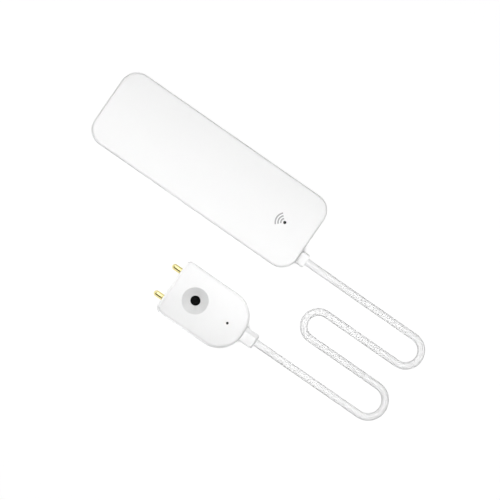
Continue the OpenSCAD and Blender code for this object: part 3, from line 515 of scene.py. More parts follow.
def lay(part, x, low, high, turn=LIES_ALONG_X):
    """Lays a part made around Z along X, from x in the middle of a box with corners in metres."""
    seat = Matrix.Translation((x, (low.y + high.y) / 2, (low.z + high.z) / 2))
    bmesh.ops.transform(part, matrix=seat @ turn, verts=part.verts)


def softened(name, width, cuts=()):
    """Copies a node's mesh, cuts off what lies beyond planes and rounds edges by a width in millimetres."""
    part = bmesh.new()
    part.from_mesh(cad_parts[name].data)
    bmesh.ops.remove_doubles(part, verts=part.verts, dist=WELD)
    bmesh.ops.dissolve_limit(part, angle_limit=math.radians(1), verts=part.verts[:], edges=part.edges[:])
    for place, facing in cuts:
        whole = [*part.verts, *part.edges, *part.faces]
        bmesh.ops.bisect_plane(part, geom=whole, plane_co=place, plane_no=facing, clear_outer=True)
        fill_holes(part)
    sharp = [e for e in part.edges if len(e.link_faces) == 2 and e.calc_face_angle() > math.radians(30)]
    bmesh.ops.bevel(
        part, geom=sharp, offset=width * MM, offset_type="OFFSET", affect="EDGES",
        segments=2, profile=0.5, clamp_overlap=True, material=-1,
    )
    bmesh.ops.remove_doubles(part, verts=part.verts, dist=WELD)
    bmesh.ops.dissolve_degenerate(part, dist=WELD, edges=part.edges)
    for face in part.faces:
        face.material_index = 0
    return part


def islands(name):
    """Gives the low and high corner, in millimetres, of each separate solid of a node."""
    bm = bmesh.new()
    bm.from_mesh(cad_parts[name].data)
    bmesh.ops.remove_doubles(bm, verts=bm.verts, dist=WELD)
    boxes = []
    for seed in bm.verts:
        if seed.tag:
            continue
        seed.tag = True
        solid = [seed]
        for vert in solid:
            for other in [edge.other_vert(vert) for edge in vert.link_edges]:
                if not other.tag:
                    other.tag = True
                    solid.append(other)
        places = [vert.co / MM for vert in solid]
        boxes.append((Vector(map(min, *places)), Vector(map(max, *places))))
    bm.free()
    return boxes


def piece(name, bm, body, finishes, slot, *nodes):
    """Makes an object of a mesh, which rides on a body and stands for the CAD nodes that are named."""
    made = finished_object(name, bm, finishes)
    made.data.shade_smooth()
    made.data.set_sharp_from_angle(angle=math.radians(50))
    made.modifiers.new("Even shading", "WEIGHTED_NORMAL").keep_sharp = True
    attach(made, body, slot, *nodes)


def attach(made, body, slot, *nodes):
    """Puts an object on a body in place of CAD nodes; slot is not used."""
    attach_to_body(made, body)
    if nodes:
        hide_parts(*nodes)


def wire(name, routes, diameter, finishes):
    """Makes one curve object of round wires along routes in millimetres, each with its own finish."""
    curve = bpy.data.curves.new(name, "CURVE")
    curve.dimensions = "3D"
    curve.resolution_u = 8
    curve.bevel_depth = diameter / 2
    curve.bevel_resolution = 6
    curve.use_fill_caps = True
    for finish in finishes:
        curve.materials.append(finish)
    for index, route in enumerate(routes):
        spline = curve.splines.new("BEZIER")
        spline.bezier_points.add(len(route) - 1)
        spline.material_index = index
        for point, place in zip(spline.bezier_points, route):
            point.handle_left_type = "AUTO"
            point.handle_right_type = "AUTO"
            point.co = Vector(place) * MM
    return added(name, curve)


def dress(finish, *names):
    """Gives CAD nodes that keep their shape a material."""
    for name in names:
        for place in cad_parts[name].material_slots:
            place.material = finish


# Operators


class BuildStage(bpy.types.Operator):
    """Adds the camera, the light and the floor"""

    bl_idname = "leak_sensor.stage"
    bl_label = "Stage"

    # Middle of the view and half the unit's height, then the places of the key light, less its height, and of
    # the soft box, in millimetres
    view_middle = (29.6, -15.88)
    view_level = 8
    key_place = (15, -16)
    soft_place = (30, -16, 1000)
    # Small lamps: place, aim, length and width in millimetres, the beam's angle and the share of the power.
    # The first lights the probe from over the gap beside it, three lie lower than the probe's top and lighten
    # its edges, and the last hangs over the cord's last run
    fills = (
        ("probe strip", (29, -24, 30), (29, -43, 10), (46, 8), 110, 0.6),
        ("probe gap card", (29, -21, 4.5), (29, -32, 4.5), (40, 8), 110, 1.2),
        ("probe side card", (22, -74, 4.5), (22, -54, 4.5), (32, 8), 110, 2.7),
        ("probe end card", (-10, -43, 4.5), (13, -43, 4.5), (24, 8), 110, 2.6),
        ("cord strip", (82, -44, 40), (82, -44, 0), (44, 6), 30, 0.2),
    )
    # Cards that only reflections show, with corners in metres and light level: a bright one overhead and on
    # the +Y side, a dark one on the -Y side and a grey one towards -X
    cards = (
        ("bright card", (-2, -0.18, 1.2), (2, 2.2, 1.2), 1.95),
        ("dark card", (-2, -1.6, 1.2), (2, -0.2, 1.2), 0.03),
        ("grey card", (-1.4, -0.9, 1.1), (-0.2, 0.9, 1.1), 0.4),
    )

    def execute(self, context):
        scene = context.scene
        stage = scene.leak_sensor.stage
        scene.view_settings.view_transform = "Standard"
        self.camera(scene, stage)
        self.surround(scene, stage)

        bm = bmesh.new()
        bmesh.ops.create_circle(bm, cap_ends=True, segments=96, radius=4.0)
        bmesh.ops.translate(bm, vec=(0, 0, -0.05 * MM), verts=bm.verts)
        finished_object("studio floor", bm, [self.floor_paper(stage)])

        over = Vector((*self.key_place, stage.key_height / MM))
        high = Vector(self.soft_place)
        down = Vector((0, 0, -1))
        self.lamp("key strip", over, over + down, (300, 30), stage.key_spread, stage.key_power)
        self.lamp("soft box", high, high + down, (250, 250), math.radians(60), stage.soft_power)
        for name, place, aim, size, spread, share in self.fills:
            self.lamp(name, Vector(place), Vector(aim), size, math.radians(spread), share * stage.fill_power)
        for row in self.cards:
            self.card(*row)
        return {"FINISHED"}

    def camera(self, scene, stage):
        """Adds the camera, which looks straight down."""
        lens = bpy.data.cameras.new("photo camera")
        lens.lens = stage.lens
        lens.sensor_width = 36
        made = added("photo camera", lens)
        x, y = self.view_middle
        height = stage.view_width * stage.lens / lens.sensor_width + self.view_level * MM
        made.location = (x * MM, y * MM, height)
        made.rotation_euler = (0, 0, stage.turn)
        scene.camera = made

    def surround(self, scene, stage):
        """Adds a world that is seen as white and lights in greys."""
        world = bpy.data.worlds.new("studio surround")
        scene.world = world
        world.use_nodes = True
        tree = world.node_tree
        tree.nodes.clear()
        seen = self.seen(tree, node(tree, "LightPath").outputs)
        way = node(tree, "SeparateXYZ", {0: node(tree, "TexCoord").outputs["Generated"]})
        level = node(tree, "MapRange", {
            "Value": way.outputs["Z"], "To Min": stage.horizon, "To Max": stage.zenith,
        })
        grey = node(tree, "Background", {"Color": (1, 1, 1, 1), "Strength": level})
        white = node(tree, "Background", {"Color": (1, 1, 1, 1), "Strength": 1.0})
        both = node(tree, "MixShader", {0: seen, 1: grey, 2: white})
        node(tree, "OutputWorld", {"Surface": both})

    def seen(self, tree, path):
        """Gives 1 for rays from the camera and from mirroring or clear surfaces, else 0."""
        mirrored = node(tree, "Math", {
            0: path["Is Glossy Ray"], 1: path["Is Transmission Ray"],
        }, operation="MAXIMUM")
        return node(tree, "Math", {
            0: path["Is Camera Ray"], 1: mirrored,
        }, operation="MAXIMUM")

    def lamp(self, name, place, aim, size, spread, power):
        """Adds a rectangular lamp at a place, turned to its aim, both in millimetres; nothing shows it."""
        light = bpy.data.lights.new(name, "AREA")
        light.shape = "RECTANGLE"
        light.size, light.size_y = size[0] * MM, size[1] * MM
        light.spread = spread
        light.energy = power
        made = added(name, light)
        made.location = place * MM
        made.rotation_euler = (aim - place).to_track_quat("-Z", "Y").to_euler()
        made.visible_camera = made.visible_glossy = False

    def card(self, name, low, high, level):
        """Adds a level card between two corners in metres, which only reflections show."""
        made = blank(name)
        tree = made.node_tree
        glow = node(tree, "Emission", {"Color": (1, 1, 1, 1), "Strength": level})
        node(tree, "OutputMaterial", {"Surface": glow})
        bm = bmesh.new()
        bmesh.ops.create_grid(bm, x_segments=1, y_segments=1, size=0.5)
        bmesh.ops.scale(bm, vec=(high[0] - low[0], high[1] - low[1], 1), verts=bm.verts)
        bmesh.ops.translate(bm, vec=(Vector(low) + Vector(high)) / 2, verts=bm.verts)
        card = finished_object(name, bm, [made])
        for ray in ("camera", "diffuse", "transmission", "shadow"):
            setattr(card, "visible_" + ray, False)

    def floor_paper(self, stage):
        """White paper: seen as white with a faint shadow, with painted shade where a deep hole shuts it in.
        """
        made = blank("Paper, matt white")
        tree = made.node_tree
        path = node(tree, "LightPath").outputs
        seen = self.seen(tree, path)
        # Painted shade: where ambient occlusion finds a deep hole, the white glow gives way to a dark grey
        # paper
        open_sky = node(tree, "AmbientOcclusion", {"Distance": 6 * MM}, samples=16)
        shut_in = node(tree, "MapRange", {
            "Value": open_sky.outputs["AO"], "From Min": 0.24, "From Max": 0.42,
        })
        white = node(tree, "Emission", {"Color": (1, 1, 1, 1), "Strength": 0.97})
        veil = node(tree, "BsdfDiffuse", {"Color": linear("#4A4A4A")})
        open_paper = node(tree, "AddShader", {0: white, 1: veil})
        deep = node(tree, "BsdfDiffuse", {"Color": linear("#161616")})
        shown = node(tree, "MixShader", {0: shut_in, 1: deep, 2: open_paper})
        # Faces that lie on the floor would be black in a view from below, so it glows for those alone
        grey = node(tree, "BsdfDiffuse", {"Color": stage.floor})
        glow = node(tree, "Emission", {"Color": (1, 1, 1, 1), "Strength": 0.6})
        lying = node(tree, "Math", {0: path["Ray Length"], 1: 0.15 * MM}, operation="LESS_THAN")
        lit = node(tree, "MixShader", {0: lying, 1: grey, 2: glow})
        top = node(tree, "MixShader", {0: seen, 1: lit, 2: shown})
        clear = node(tree, "BsdfTransparent")
        back = node(tree, "NewGeometry").outputs["Backfacing"]
        sides = node(tree, "MixShader", {0: back, 1: top, 2: clear})
        node(tree, "OutputMaterial", {"Surface": sides})
        return made


class BuildCord(bpy.types.Operator):
    """Adds the cord between the gland and the boot"""

    bl_idname = "leak_sensor.cord"
    bl_label = "Cord"

    # Degrees from point to point in a half turn, and millimetres from point to point in a run
    turn_step = 15
    run_step = 2
    # The way down from a fitting's end to the floor: length in millimetres, steps, and steps that stay level
    sink_length = 30
    sink_steps = 16
    level_steps = 2

    def execute(self, context):
        settings = context.scene.leak_sensor
        route = self.route(settings.cord.diameter / MM / 2 + 0.05)
        cord = wire("cord_sheath", [route], settings.cord.diameter, [extruded_pvc(settings)])
        attach(cord, "base", "white_soft", "sensor_cord")
        return {"FINISHED"}

    def route(self, lie_z):
        """Gives points in millimetres along the cord: four runs at the height lie_z, and half turns."""
        ends = []
        for name in ("main_gland", "probe_boot"):
            low, high = box_mm(name)
            ends.append(Vector((high.x, (low.y + high.y) / 2, (low.z + high.z) / 2)))
        span = ends[0].y - ends[1].y
        lying, y, way = [], ends[0].y, 1
        for x, share in CORD_TURNS:
            radius = span * share / 2
            y -= radius
            for degrees in range(90, -91, -self.turn_step):
                turn = math.radians(degrees)
                out = way * radius * math.cos(turn)
                lying.append(Vector((x + out, y + radius * math.sin(turn), lie_z)))
            y -= radius
            way = -way
        first, last = [self.sinking(end, lie_z) for end in ends]
        points = first + lying + last[::-1]
        filled = [points[0]]
        for point in points[1:]:
            start = filled[-1]
            pieces = max(1, round((point - start).length / self.run_step))
            filled += [start.lerp(point, (k + 1) / pieces) for k in range(pieces)]
        return filled

    def sinking(self, end, lie_z):
        """Gives points from the gland's or the boot's end face to where the cord lies."""
        points = []
        for step in range(self.sink_steps + 1):
            t = max(step - self.level_steps, 0) / (self.sink_steps - self.level_steps)
            out = self.sink_length * step / self.sink_steps
            points.append(end + Vector((out, 0, (lie_z - end.z) * t * t * (3 - 2 * t))))
        return points


class DressShells(bpy.types.Operator):
    """Gives the shells, gland, boot, light pipes and seals their finishes"""

    bl_idname = "leak_sensor.shells"
    bl_label = "Shells and fittings"

    # Slopes along the boot's +Y side and across its end: breadth in millimetres, then the way that each faces
    slopes = (((0, 1.6, 0), (0, 3, 2)), ((0.6, 0, 0), (3, 0, 1)))

    def execute(self, context):
        settings = context.scene.leak_sensor
        dress(moulded_abs(settings), "front_cover", "rear_base", "probe_base")
        dress(probe_abs(settings), "probe_top")
        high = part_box("probe_boot")[1]
        slopes = [(high - Vector(breadth) * MM, facing) for breadth, facing in self.slopes]
        for name, width, cuts in (("main_gland", 0.6, ()), ("probe_boot", 0.2, slopes)):
            part = softened(name, width, cuts)
            piece(name + "_moulding", part, "base", [moulded_pvc(settings)], "white_soft", name)
        dress(smoked_polycarbonate(settings), "status_light_pipe", "probe_light_pipe")
        dress(silicone(), "probe_seal", "pin_seals")
        return {"FINISHED"}


class BuildPins(bpy.types.Operator):
    """Adds the contact pins"""

    bl_idname = "leak_sensor.pins"
    bl_label = "Contact pins"

    # Collar and inner end: radius, then distance from the tip, in millimetres
    shank = (
        (1.2, 6.5), (1.62, 6.5), (1.7, 6.58), (1.7, 7.22), (1.62, 7.3), (1.2, 7.3), (1.2, 9.75), (1.05, 9.9),
        (0, 9.9),
    )

    def execute(self, context):
        plating = gold_plate(context.scene.leak_sensor)
        radius = self.shank[0][0]
        turns = [math.pi / 2 * step / 12 for step in range(13)]
        dome = [(radius * math.sin(turn), radius - radius * math.cos(turn)) for turn in turns]
        for name in ("contact_pin_left", "contact_pin_right"):
            low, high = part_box(name)
            part = turned((*dome, *self.shank), 64)
            lay(part, low.x, low, high)
            piece(name + "_turning", part, "base", [plating], "gold_pin", name)
        return {"FINISHED"}


class BuildSignalMark(bpy.types.Operator):
    """Adds the three printed arcs beside the status light"""

    bl_idname = "leak_sensor.signal_mark"
    bl_label = "Signal mark"

    def execute(self, context):
        settings = context.scene.leak_sensor
        mark = settings.mark
        low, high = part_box("status_light_pipe")
        film = 0.015 * MM
        turn = Matrix.Rotation(-mark.spread / 2, 3, "Z")
        bm = bmesh.new()
        for index in range(3):
            inner = mark.first_radius + index * mark.spacing - mark.stroke / 2
            outer = inner + mark.stroke
            outline = ((inner, 0), (outer, 0), (outer, film), (inner, film))
            corners = [bm.verts.new((-radius, 0, height)) for radius, height in outline]
            end = bm.faces.new(corners)
            bmesh.ops.rotate(bm, cent=(0, 0, 0), matrix=turn, verts=corners)
            bmesh.ops.spin(
                bm, geom=[end, *end.edges, *corners], cent=(0, 0, 0), axis=(0, 0, 1), angle=mark.spread,
                steps=24,
            )
        fill_holes(bm)
        bmesh.ops.recalc_face_normals(bm, faces=bm.faces)
        bmesh.ops.translate(bm, vec=((low.x + high.x) / 2, (low.y + high.y) / 2, high.z), verts=bm.verts)
        piece("signal_mark", bm, "cover", [pad_ink(settings)], "dark_lens")
        return {"FINISHED"}


class BuildCells(bpy.types.Operator):
    """Adds the two AAA cells with their film, caps and buttons"""

    bl_idname = "leak_sensor.cells"
    bl_label = "Cells"

    # Radius and height from the flat negative end to the positive button, in millimetres
    profile = (
        (0, 0), (3.7, 0), (3.9, 0.08), (4.0, 0.3), (4.35, 0.3), (4.4, 0.1), (4.6, 0.02), (4.9, 0.06),
        (5.12, 0.2), (5.22, 0.42), (5.25, 0.7),
        (5.25, 43.0), (5.22, 43.25), (5.1, 43.5), (4.9, 43.64), (4.6, 43.7), (4.3, 43.66), (4.2, 43.5),
        (4.2, 43.3), (2.3, 43.3), (2.1, 43.32), (1.98, 43.45), (1.9, 43.7), (1.9, 44.2), (1.82, 44.4),
        (1.6, 44.5), (0, 44.5),
    )
    # Radii within which the foot and the button are bare metal, and within which the washer lies
    foot_edge = 4.37
    button_edge = 2.25
    washer_edge = 4.25

    def execute(self, context):
        settings = context.scene.leak_sensor
        washer = surface("Fibre washer, white", linear("#E7E3D8"), 0.8, 0.2, cloud=1, mottle=0.05)
        finishes = [cell_film(settings), nickel_plate(settings), washer]
        flipped = Matrix.Rotation(math.pi, 4, "Z") @ LIES_ALONG_X
        for name, body, turn in (("cell_a", "first_cell", flipped), ("cell_b", "second_cell", LIES_ALONG_X)):
            low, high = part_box(name)
            part = turned(self.profile, 72)
            along = part.verts.layers.float.new("along")
            for vert in part.verts:
                vert[along] = vert.co.z / (high.x - low.x)
            for face in part.faces:
                middle = face.calc_center_median() / MM
                radius = middle.to_2d().length
                at_foot = middle.z < 1
                at_head = middle.z > 43
                if at_foot and radius < self.foot_edge or at_head and radius < self.button_edge:
                    face.material_index = 1
                elif at_head and radius < self.washer_edge:
                    face.material_index = 2
            lay(part, high.x if turn is flipped else low.x, low, high, turn)
            piece(body + "_can", part, body, finishes, "cell_wrap", name)
        return {"FINISHED"}


class BuildContacts(bpy.types.Operator):
    """Adds the contact plates and their springs"""

    bl_idname = "leak_sensor.contacts"
    bl_label = "Contact plates and springs"

    # Springs: wire's thickness and coil's radius in millimetres, turns, and steps in all of them
    wire_thickness = 0.5
    coil_radius = 2.55
    turns = 3
    steps = 108

    def execute(self, context):
        plating = nickel_plate(context.scene.leak_sensor)
        for name in ("bridge_plate", "positive_plate", "negative_plate"):
            piece(name + "_stamping", softened(name, 0.1), "base", [plating], "spring_steel", name)
        upright = Matrix.Rotation(math.pi / 2, 3, "X")
        for name in ("bridge_spring", "negative_spring"):
            low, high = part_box(name)
            thickness = self.wire_thickness * MM
            rise = (high.x - low.x - thickness) / self.steps
            part = bmesh.new()
            bmesh.ops.create_circle(part, segments=12, radius=thickness / 2)
            bmesh.ops.rotate(part, cent=(0, 0, 0), matrix=upright, verts=part.verts)
            bmesh.ops.translate(part, vec=(self.coil_radius * MM, 0, 0), verts=part.verts)
            bmesh.ops.spin(
                part, geom=part.verts[:] + part.edges[:], cent=(0, 0, 0), axis=(0, 0, 1),
                dvec=(0, 0, rise), angle=self.turns * 2 * math.pi, steps=self.steps,
            )
            fill_holes(part)
            bmesh.ops.recalc_face_normals(part, faces=part.faces)
            lay(part, low.x + thickness / 2, low, high)
            piece(name + "_coil", part, "base", [plating], "spring_steel", name)
        return {"FINISHED"}


class BuildBoards(bpy.types.Operator):
    """Adds the boards with their tracks, pads and printed lines"""

    bl_idname = "leak_sensor.boards"
    bl_label = "Boards"

    # Copper tracks on the main board, as points in millimetres
    tracks = (
        ((11.6, -5.85), (13.4, -5.85), (15.2, -7.65), (15.2, -9.05), (16.4, -9.05)),
        ((11.6, 5.85), (13.2, 5.85), (14.2, 4.85), (15.0, 4.85)),
        ((19.8, -9.05), (20.5, -9.75), (20.5, -10.775), (21, -10.775)),
        ((19.8, -8.6), (20.5, -7.9), (20.5, -7.325)),
        ((22.6, -10.775), (23.0, -10.4)), ((22.6, -7.325), (23.0, -7.7)),
        ((26.1, -9.6), (26.7, -10.2), (26.7, -10.775)), ((26.1, -8.5), (26.7, -7.9), (26.7, -7.325)),
        ((24.0, -7.5), (24.0, -6.4), (23.4, -5.8)), ((24.55, -7.5), (24.55, -5.8)),
        ((25.1, -7.5), (25.1, -6.4), (25.7, -5.8)),
        ((28.8, -10.775), (30.6, -10.775)), ((28.8, -7.325), (29.6, -7.325)),
        ((28.7, 1.6), (30.3, 1.6)), ((32.0, 1.6), (32.6, 1.0), (32.6, 0.6)), ((28.7, 3.6), (30.3, 3.6)),
        ((28.7, -0.4), (32.7, -0.4)), ((28.7, -2), (30.1, -2)), ((32.2, -2), (33.4, -3.2), (33.4, -4.4)),
        ((28.7, 5.1), (30.4, 5.1), (31.2, 5.9)), ((28.7, 6.6), (30.4, 8.3), (31.2, 8.3)),
        ((37.6, 5.2), (38.4, 4.4), (38.75, 3.4)), ((40.4, 3.4), (41, 2.8), (41, 1.8)),
        ((36.2, -0.4), (37.5, -0.4)), ((35.4, -4.6), (37.4, -2.6), (37.8, -1.6)),
        ((38.7, -3.8), (37.6, -4.9), (36.4, -4.9)), ((40.4, -3.8), (41, -3.2), (41, -2.4)),
        ((10.2, 3.6), (10.2, -3.2), (12.4, -3.2)), ((12.4, 1.2), (15.0, 1.2)),
    )
    # Thin printed lines, as points in millimetres
    legends = (
        ((14.6, -6.1), (14.6, 12.1), (29.1, 12.1), (29.1, -6.1), (14.6, -6.1)),
        ((37.6, -10.8), (29.3, -10.8), (29.3, -4.0), (37.6, -4.0)),
        ((37.3, -2.6), (41.8, -2.6), (41.8, 1.8), (37.3, 1.8), (37.3, -2.6)),
        ((31.1, 4.1), (37.7, 4.1), (37.7, 10.7), (31.1, 10.7), (31.1, 4.1)),
        ((22.8, -10.8), (22.8, -7.3), (26.3, -7.3), (26.3, -10.8), (22.8, -10.8)),
        ((10.1, -8.2), (11.5, -8.2)), ((10.8, -8.9), (10.8, -7.5)), ((10.1, 8.2), (11.5, 8.2)),
    )
    # Bare round pads: place and radius in millimetres
    pads = (
        (12.4, 1.2, 0.45), (12.4, -0.6, 0.45), (12.4, -3.2, 0.45), (30.6, -11.6, 0.4), (33, 2.6, 0.3),
        (38.6, 6.4, 0.3), (41, 1.8, 0.25), (41, -2.4, 0.25), (23.4, -6.2, 0.25), (25.7, -6.2, 0.25),
        (31.6, -11.6, 0.4), (32.6, -11.6, 0.4),
    )

    def execute(self, context):
        settings = context.scene.leak_sensor
        board = settings.board
        mask = solder_mask("Solder mask, green", board.mask)
        for name in ("main_board", "probe_board"):
            part = softened(name, 0.05)
            part.normal_update()
            for face in part.faces:
                face.material_index = 0 if abs(face.normal.z) > 0.7 else 1
            piece(name + "_laminate", part, "base", [mask, glass_epoxy()], "board_green", name)

        covered = solder_mask("Solder mask over copper", [c * 1.9 for c in board.mask[:3]])
        ink = surface("Ink, screen-printed", board.legend, 0.7, 0.1, cloud=0.8, mottle=0.06)
        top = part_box("main_board")[1].z / MM
        bm = bmesh.new()
        for points in self.tracks:
            strip(bm, points, board.track / MM, top, 0.04, 0)
        for points in self.legends:
            strip(bm, points, 0.16, top, 0.02, 1)
        for x, y, radius in self.pads:
            self.disc(bm, x, y, top, 0, radius)
        for low, high in islands("board_screws"):
            self.disc(bm, (low.x + high.x) / 2, (low.y + high.y) / 2, top, 1.15, 2.5)
        for name in ("positive_plate", "negative_plate"):
            low, high = box_mm(name)
            y = (low.y + high.y) / 2
            block(bm, (high.x - 2.3, y - 1.6, top), (high.x + 0.7, y + 1.6, top + 0.05), 0.015, 2)
            self.solder(bm, high.x, y, top)
        finishes = [covered, ink, gold_plate(settings), tin_plate()]
        piece("board_tracks", bm, "base", finishes, "board_green")
        return {"FINISHED"}

    def disc(self, bm, x, y, z, hole, radius):
        """Adds a bare gold pad, with a hole or without."""
        rim = ((hole, 0), (radius, 0), (radius, 0.03), (radius - 0.02, 0.05), (hole, 0.05))
        part = turned(rim if hole else rim[1:-1] + ((0, 0.05),), 24, ring=bool(hole))
        join(bm, part, 2, (x, y, z))

    def solder(self, bm, x, y, z):
        """Adds the solder that holds a contact plate's tail."""
        part = turned(((1.35, 0), (1.2, 0.18), (0.85, 0.42), (0.4, 0.55), (0, 0.58)), 24)
        bmesh.ops.scale(part, vec=(0.6, 1, 1), verts=part.verts)
        join(bm, part, 3, (x, y, z))


class BuildRadio(bpy.types.Operator):
    """Adds the radio module, its edge contacts, its aerial and its shield can"""

    bl_idname = "leak_sensor.radio"
    bl_label = "Radio module"

    # Contacts along each edge and runs of the aerial, each with their pitch in millimetres
    contacts = 8
    contact_pitch = 1.5
    runs = 7
    run_pitch = 1.6

    def execute(self, context):
        settings = context.scene.leak_sensor
        low, high = box_mm("radio_module")
        can_low, can_high = box_mm("radio_shield")
        bm = softened("radio_module", 0.05)
        for index in range(self.contacts):
            y = can_low.y + 0.4 + index * self.contact_pitch
            for x, side in ((low.x, -1), (high.x, 1)):
                inner = (x - side * 0.7, y - 0.4, low.z + 0.02)
                block(bm, inner, (x + side * 0.04, y + 0.4, high.z + 0.03), 0.02, 1)
                block(bm, (x, y - 0.38, low.z), (x + side * 0.55, y + 0.38, low.z + 0.3), 0.12, 2)
        aerial = [(low.x + 1.2, can_high.y + 0.5)]
        for index in range(self.runs):
            x = low.x + 1.2 + index * self.run_pitch
            far = can_high.y + (4.2 if index % 2 == 0 else 1.2)
            aerial += [(x, far), (x + self.run_pitch, far)]
        strip(bm, aerial, 0.45, high.z, 0.035, 1)
        mask = solder_mask("Solder mask, dark", settings.board.module_mask)
        finishes = [mask, gold_plate(settings), tin_plate()]
        piece("radio_laminate", bm, "base", finishes, "board_dark", "radio_module")

        can = softened("radio_shield", 0.13)
        for x in (can_low.x + 1.4, can_high.x - 1.4):
            for y in (can_low.y + 1.4, can_high.y - 1.4):
                join(can, turned(((0.45, 0), (0.4, 0.04), (0, 0.06)), 20), 0, (x, y, can_high.z))
        piece("radio_can", can, "base", [tin_plate()], "spring_steel", "radio_shield")
        return {"FINISHED"}


class BuildSmallParts(bpy.types.Operator):
    """Adds the small parts and the LEDs that are soldered on the boards"""

    bl_idname = "leak_sensor.small_parts"
    bl_label = "Small board parts"

    def execute(self, context):
        settings = context.scene.leak_sensor
        ceramic = surface("Ceramic, fired tan", linear("#A98F6C"), 0.5, 0.1, cloud=0.8, mottle=0.06)
        ferrite = surface("Ferrite, ground", linear("#3A3B3D"), 0.6, 0.12, cloud=1, mottle=0.1)
        bm = bmesh.new()
        for low, high in islands("board_components"):
            size = high - low
            if size.z > 1.5:
                self.coil(bm, low, high)
            elif size.y > 2.5:
                self.chip(bm, low, high)
            else:
                body = 2 if size.z < 0.8 or size.x > 2.5 else 1
                self.capped(bm, low, high, body)
        piece(
            "board_parts", bm, "base", [tin_plate(), ceramic, black_epoxy(), ferrite],
            "component_black", "board_components",
        )

        clear = surface(
            "Epoxy, clear over phosphor", linear("#F3EBC4"), 0.14, 0.2,
            cloud=0.6, mottle=0.05, IOR=1.52,
        )
        white = surface("Ceramic, white", linear("#E8E8E4"), 0.5, 0.15, cloud=0.8, mottle=0.03)
        for name in ("status_led", "probe_led"):
            low, high = box_mm(name)
            bm = bmesh.new()
            half = low.z + (high.z - low.z) * 0.5
            cap = (high.x - low.x) * 0.16
            block(bm, (low.x + 0.03, low.y, low.z), (high.x - 0.03, high.y, half), 0.04, 1)
            foot = (low.x + cap, low.y + 0.06, half - 0.05)
            block(bm, foot, (high.x - cap, high.y - 0.06, high.z), 0.18, 2)
            for x in (low.x, high.x - cap):
                block(bm, (x, low.y - 0.02, low.z), (x + cap, high.y + 0.02, half + 0.03), 0.05, 0)
            piece(name + "_package", bm, "base", [tin_plate(), white, clear], "led_body", name)
        return {"FINISHED"}

    def capped(self, bm, low, high, body):
        """Adds a two-ended part: a body between two tinned ends with solder at their feet."""
        cap = (high.x - low.x) * 0.2
        block(bm, (low.x + 0.05, low.y + 0.02, low.z), (high.x - 0.05, high.y - 0.02, high.z), 0.06, body)
        for x, side in ((low.x, -1), (high.x, 1)):
            block(bm, (x, low.y, low.z), (x - side * cap, high.y, high.z + 0.02), 0.07, 0)
            solder_top = low.z + (high.z - low.z) * 0.35
            block(bm, (x - side * 0.1, low.y, low.z), (x + side * 0.3, high.y, solder_top), 0.1, 0)

    def chip(self, bm, low, high):
        """Adds a flat chip with contacts along its edges and a dot at its first corner."""
        block(bm, low, high, 0.06, 2)
        middle = (low + high) / 2
        half_length, half_width, top = 0.16, 0.13, low.z + 0.22
        for step in (-1, -0.5, 0, 0.5, 1):
            y = middle.y + step
            for x in (low.x, high.x):
                start = (x - half_length, y - half_width, low.z)
                block(bm, start, (x + half_length, y + half_width, top), 0.03, 0)
            x = middle.x + step
            for y in (low.y, high.y):
                start = (x - half_width, y - half_length, low.z)
                block(bm, start, (x + half_width, y + half_length, top), 0.03, 0)
        dot = turned(((0.22, 0), (0.2, 0.01), (0, 0.012)), 20)
        join(bm, dot, 1, (low.x + 0.55, high.y - 0.55, high.z))

    def coil(self, bm, low, high):
        """Adds a shielded coil: a square foot, a round drum and two tinned ends."""
        middle = (low + high) / 2
        block(bm, low, (high.x, high.y, low.z + 0.7), 0.2, 3)
        reach = (high.x - low.x) / 2 - 0.05
        top = high.z - low.z
        drum = turned((
            (reach, 0.3), (reach, top - 0.25), (reach - 0.08, top - 0.07), (reach - 0.25, top), (0, top),
        ), 48)
        join(bm, drum, 3, (middle.x, middle.y, low.z))
        for x in (low.x, high.x):
            block(bm, (x - 0.12, middle.y - 0.8, low.z), (x + 0.12, middle.y + 0.8, low.z + 0.6), 0.05, 0)


class BuildSwitch(bpy.types.Operator):
    """Adds the pairing switch and its button"""

    bl_idname = "leak_sensor.pairing_switch"
    bl_label = "Pairing switch"

    def execute(self, context):
        settings = context.scene.leak_sensor
        low, high = box_mm("pairing_switch")
        middle = (low + high) / 2
        bm = softened("pairing_switch", 0.2)
        ring = ((1.9, 0), (2.75, 0), (2.75, 0.1), (2.65, 0.16), (1.95, 0.16), (1.9, 0.1))
        join(bm, turned(ring, 48, ring=True), 1, (middle.x, middle.y, high.z))
        stud = ((0.42, 0), (0.42, 0.12), (0.3, 0.22), (0, 0.24))
        for x in (low.x + 0.65, high.x - 0.65):
            for y in (low.y + 0.65, high.y - 0.65):
                join(bm, turned(stud, 20), 0, (x, y, high.z))
        for y in (low.y + 1.0, high.y - 1.0):
            for x, side in ((low.x, -1), (high.x, 1)):
                block(bm, (x - side * 0.1, y - 0.35, low.z), (x + side * 0.3, y + 0.35, low.z + 0.9), 0.08, 1)
        finishes = [black_epoxy(), nickel_plate(settings)]
        piece("switch_body", bm, "base", finishes, "component_black", "pairing_switch")
        cap = surface(
            "Nylon, black button", linear("#232325"), 0.42, 0.15, cloud=1, mottle=0.12, IOR=1.53,
        )
        button = softened("pairing_button", 0.22)
        piece("button_cap", button, "button", [cap], "component_black", "pairing_button")
        return {"FINISHED"}


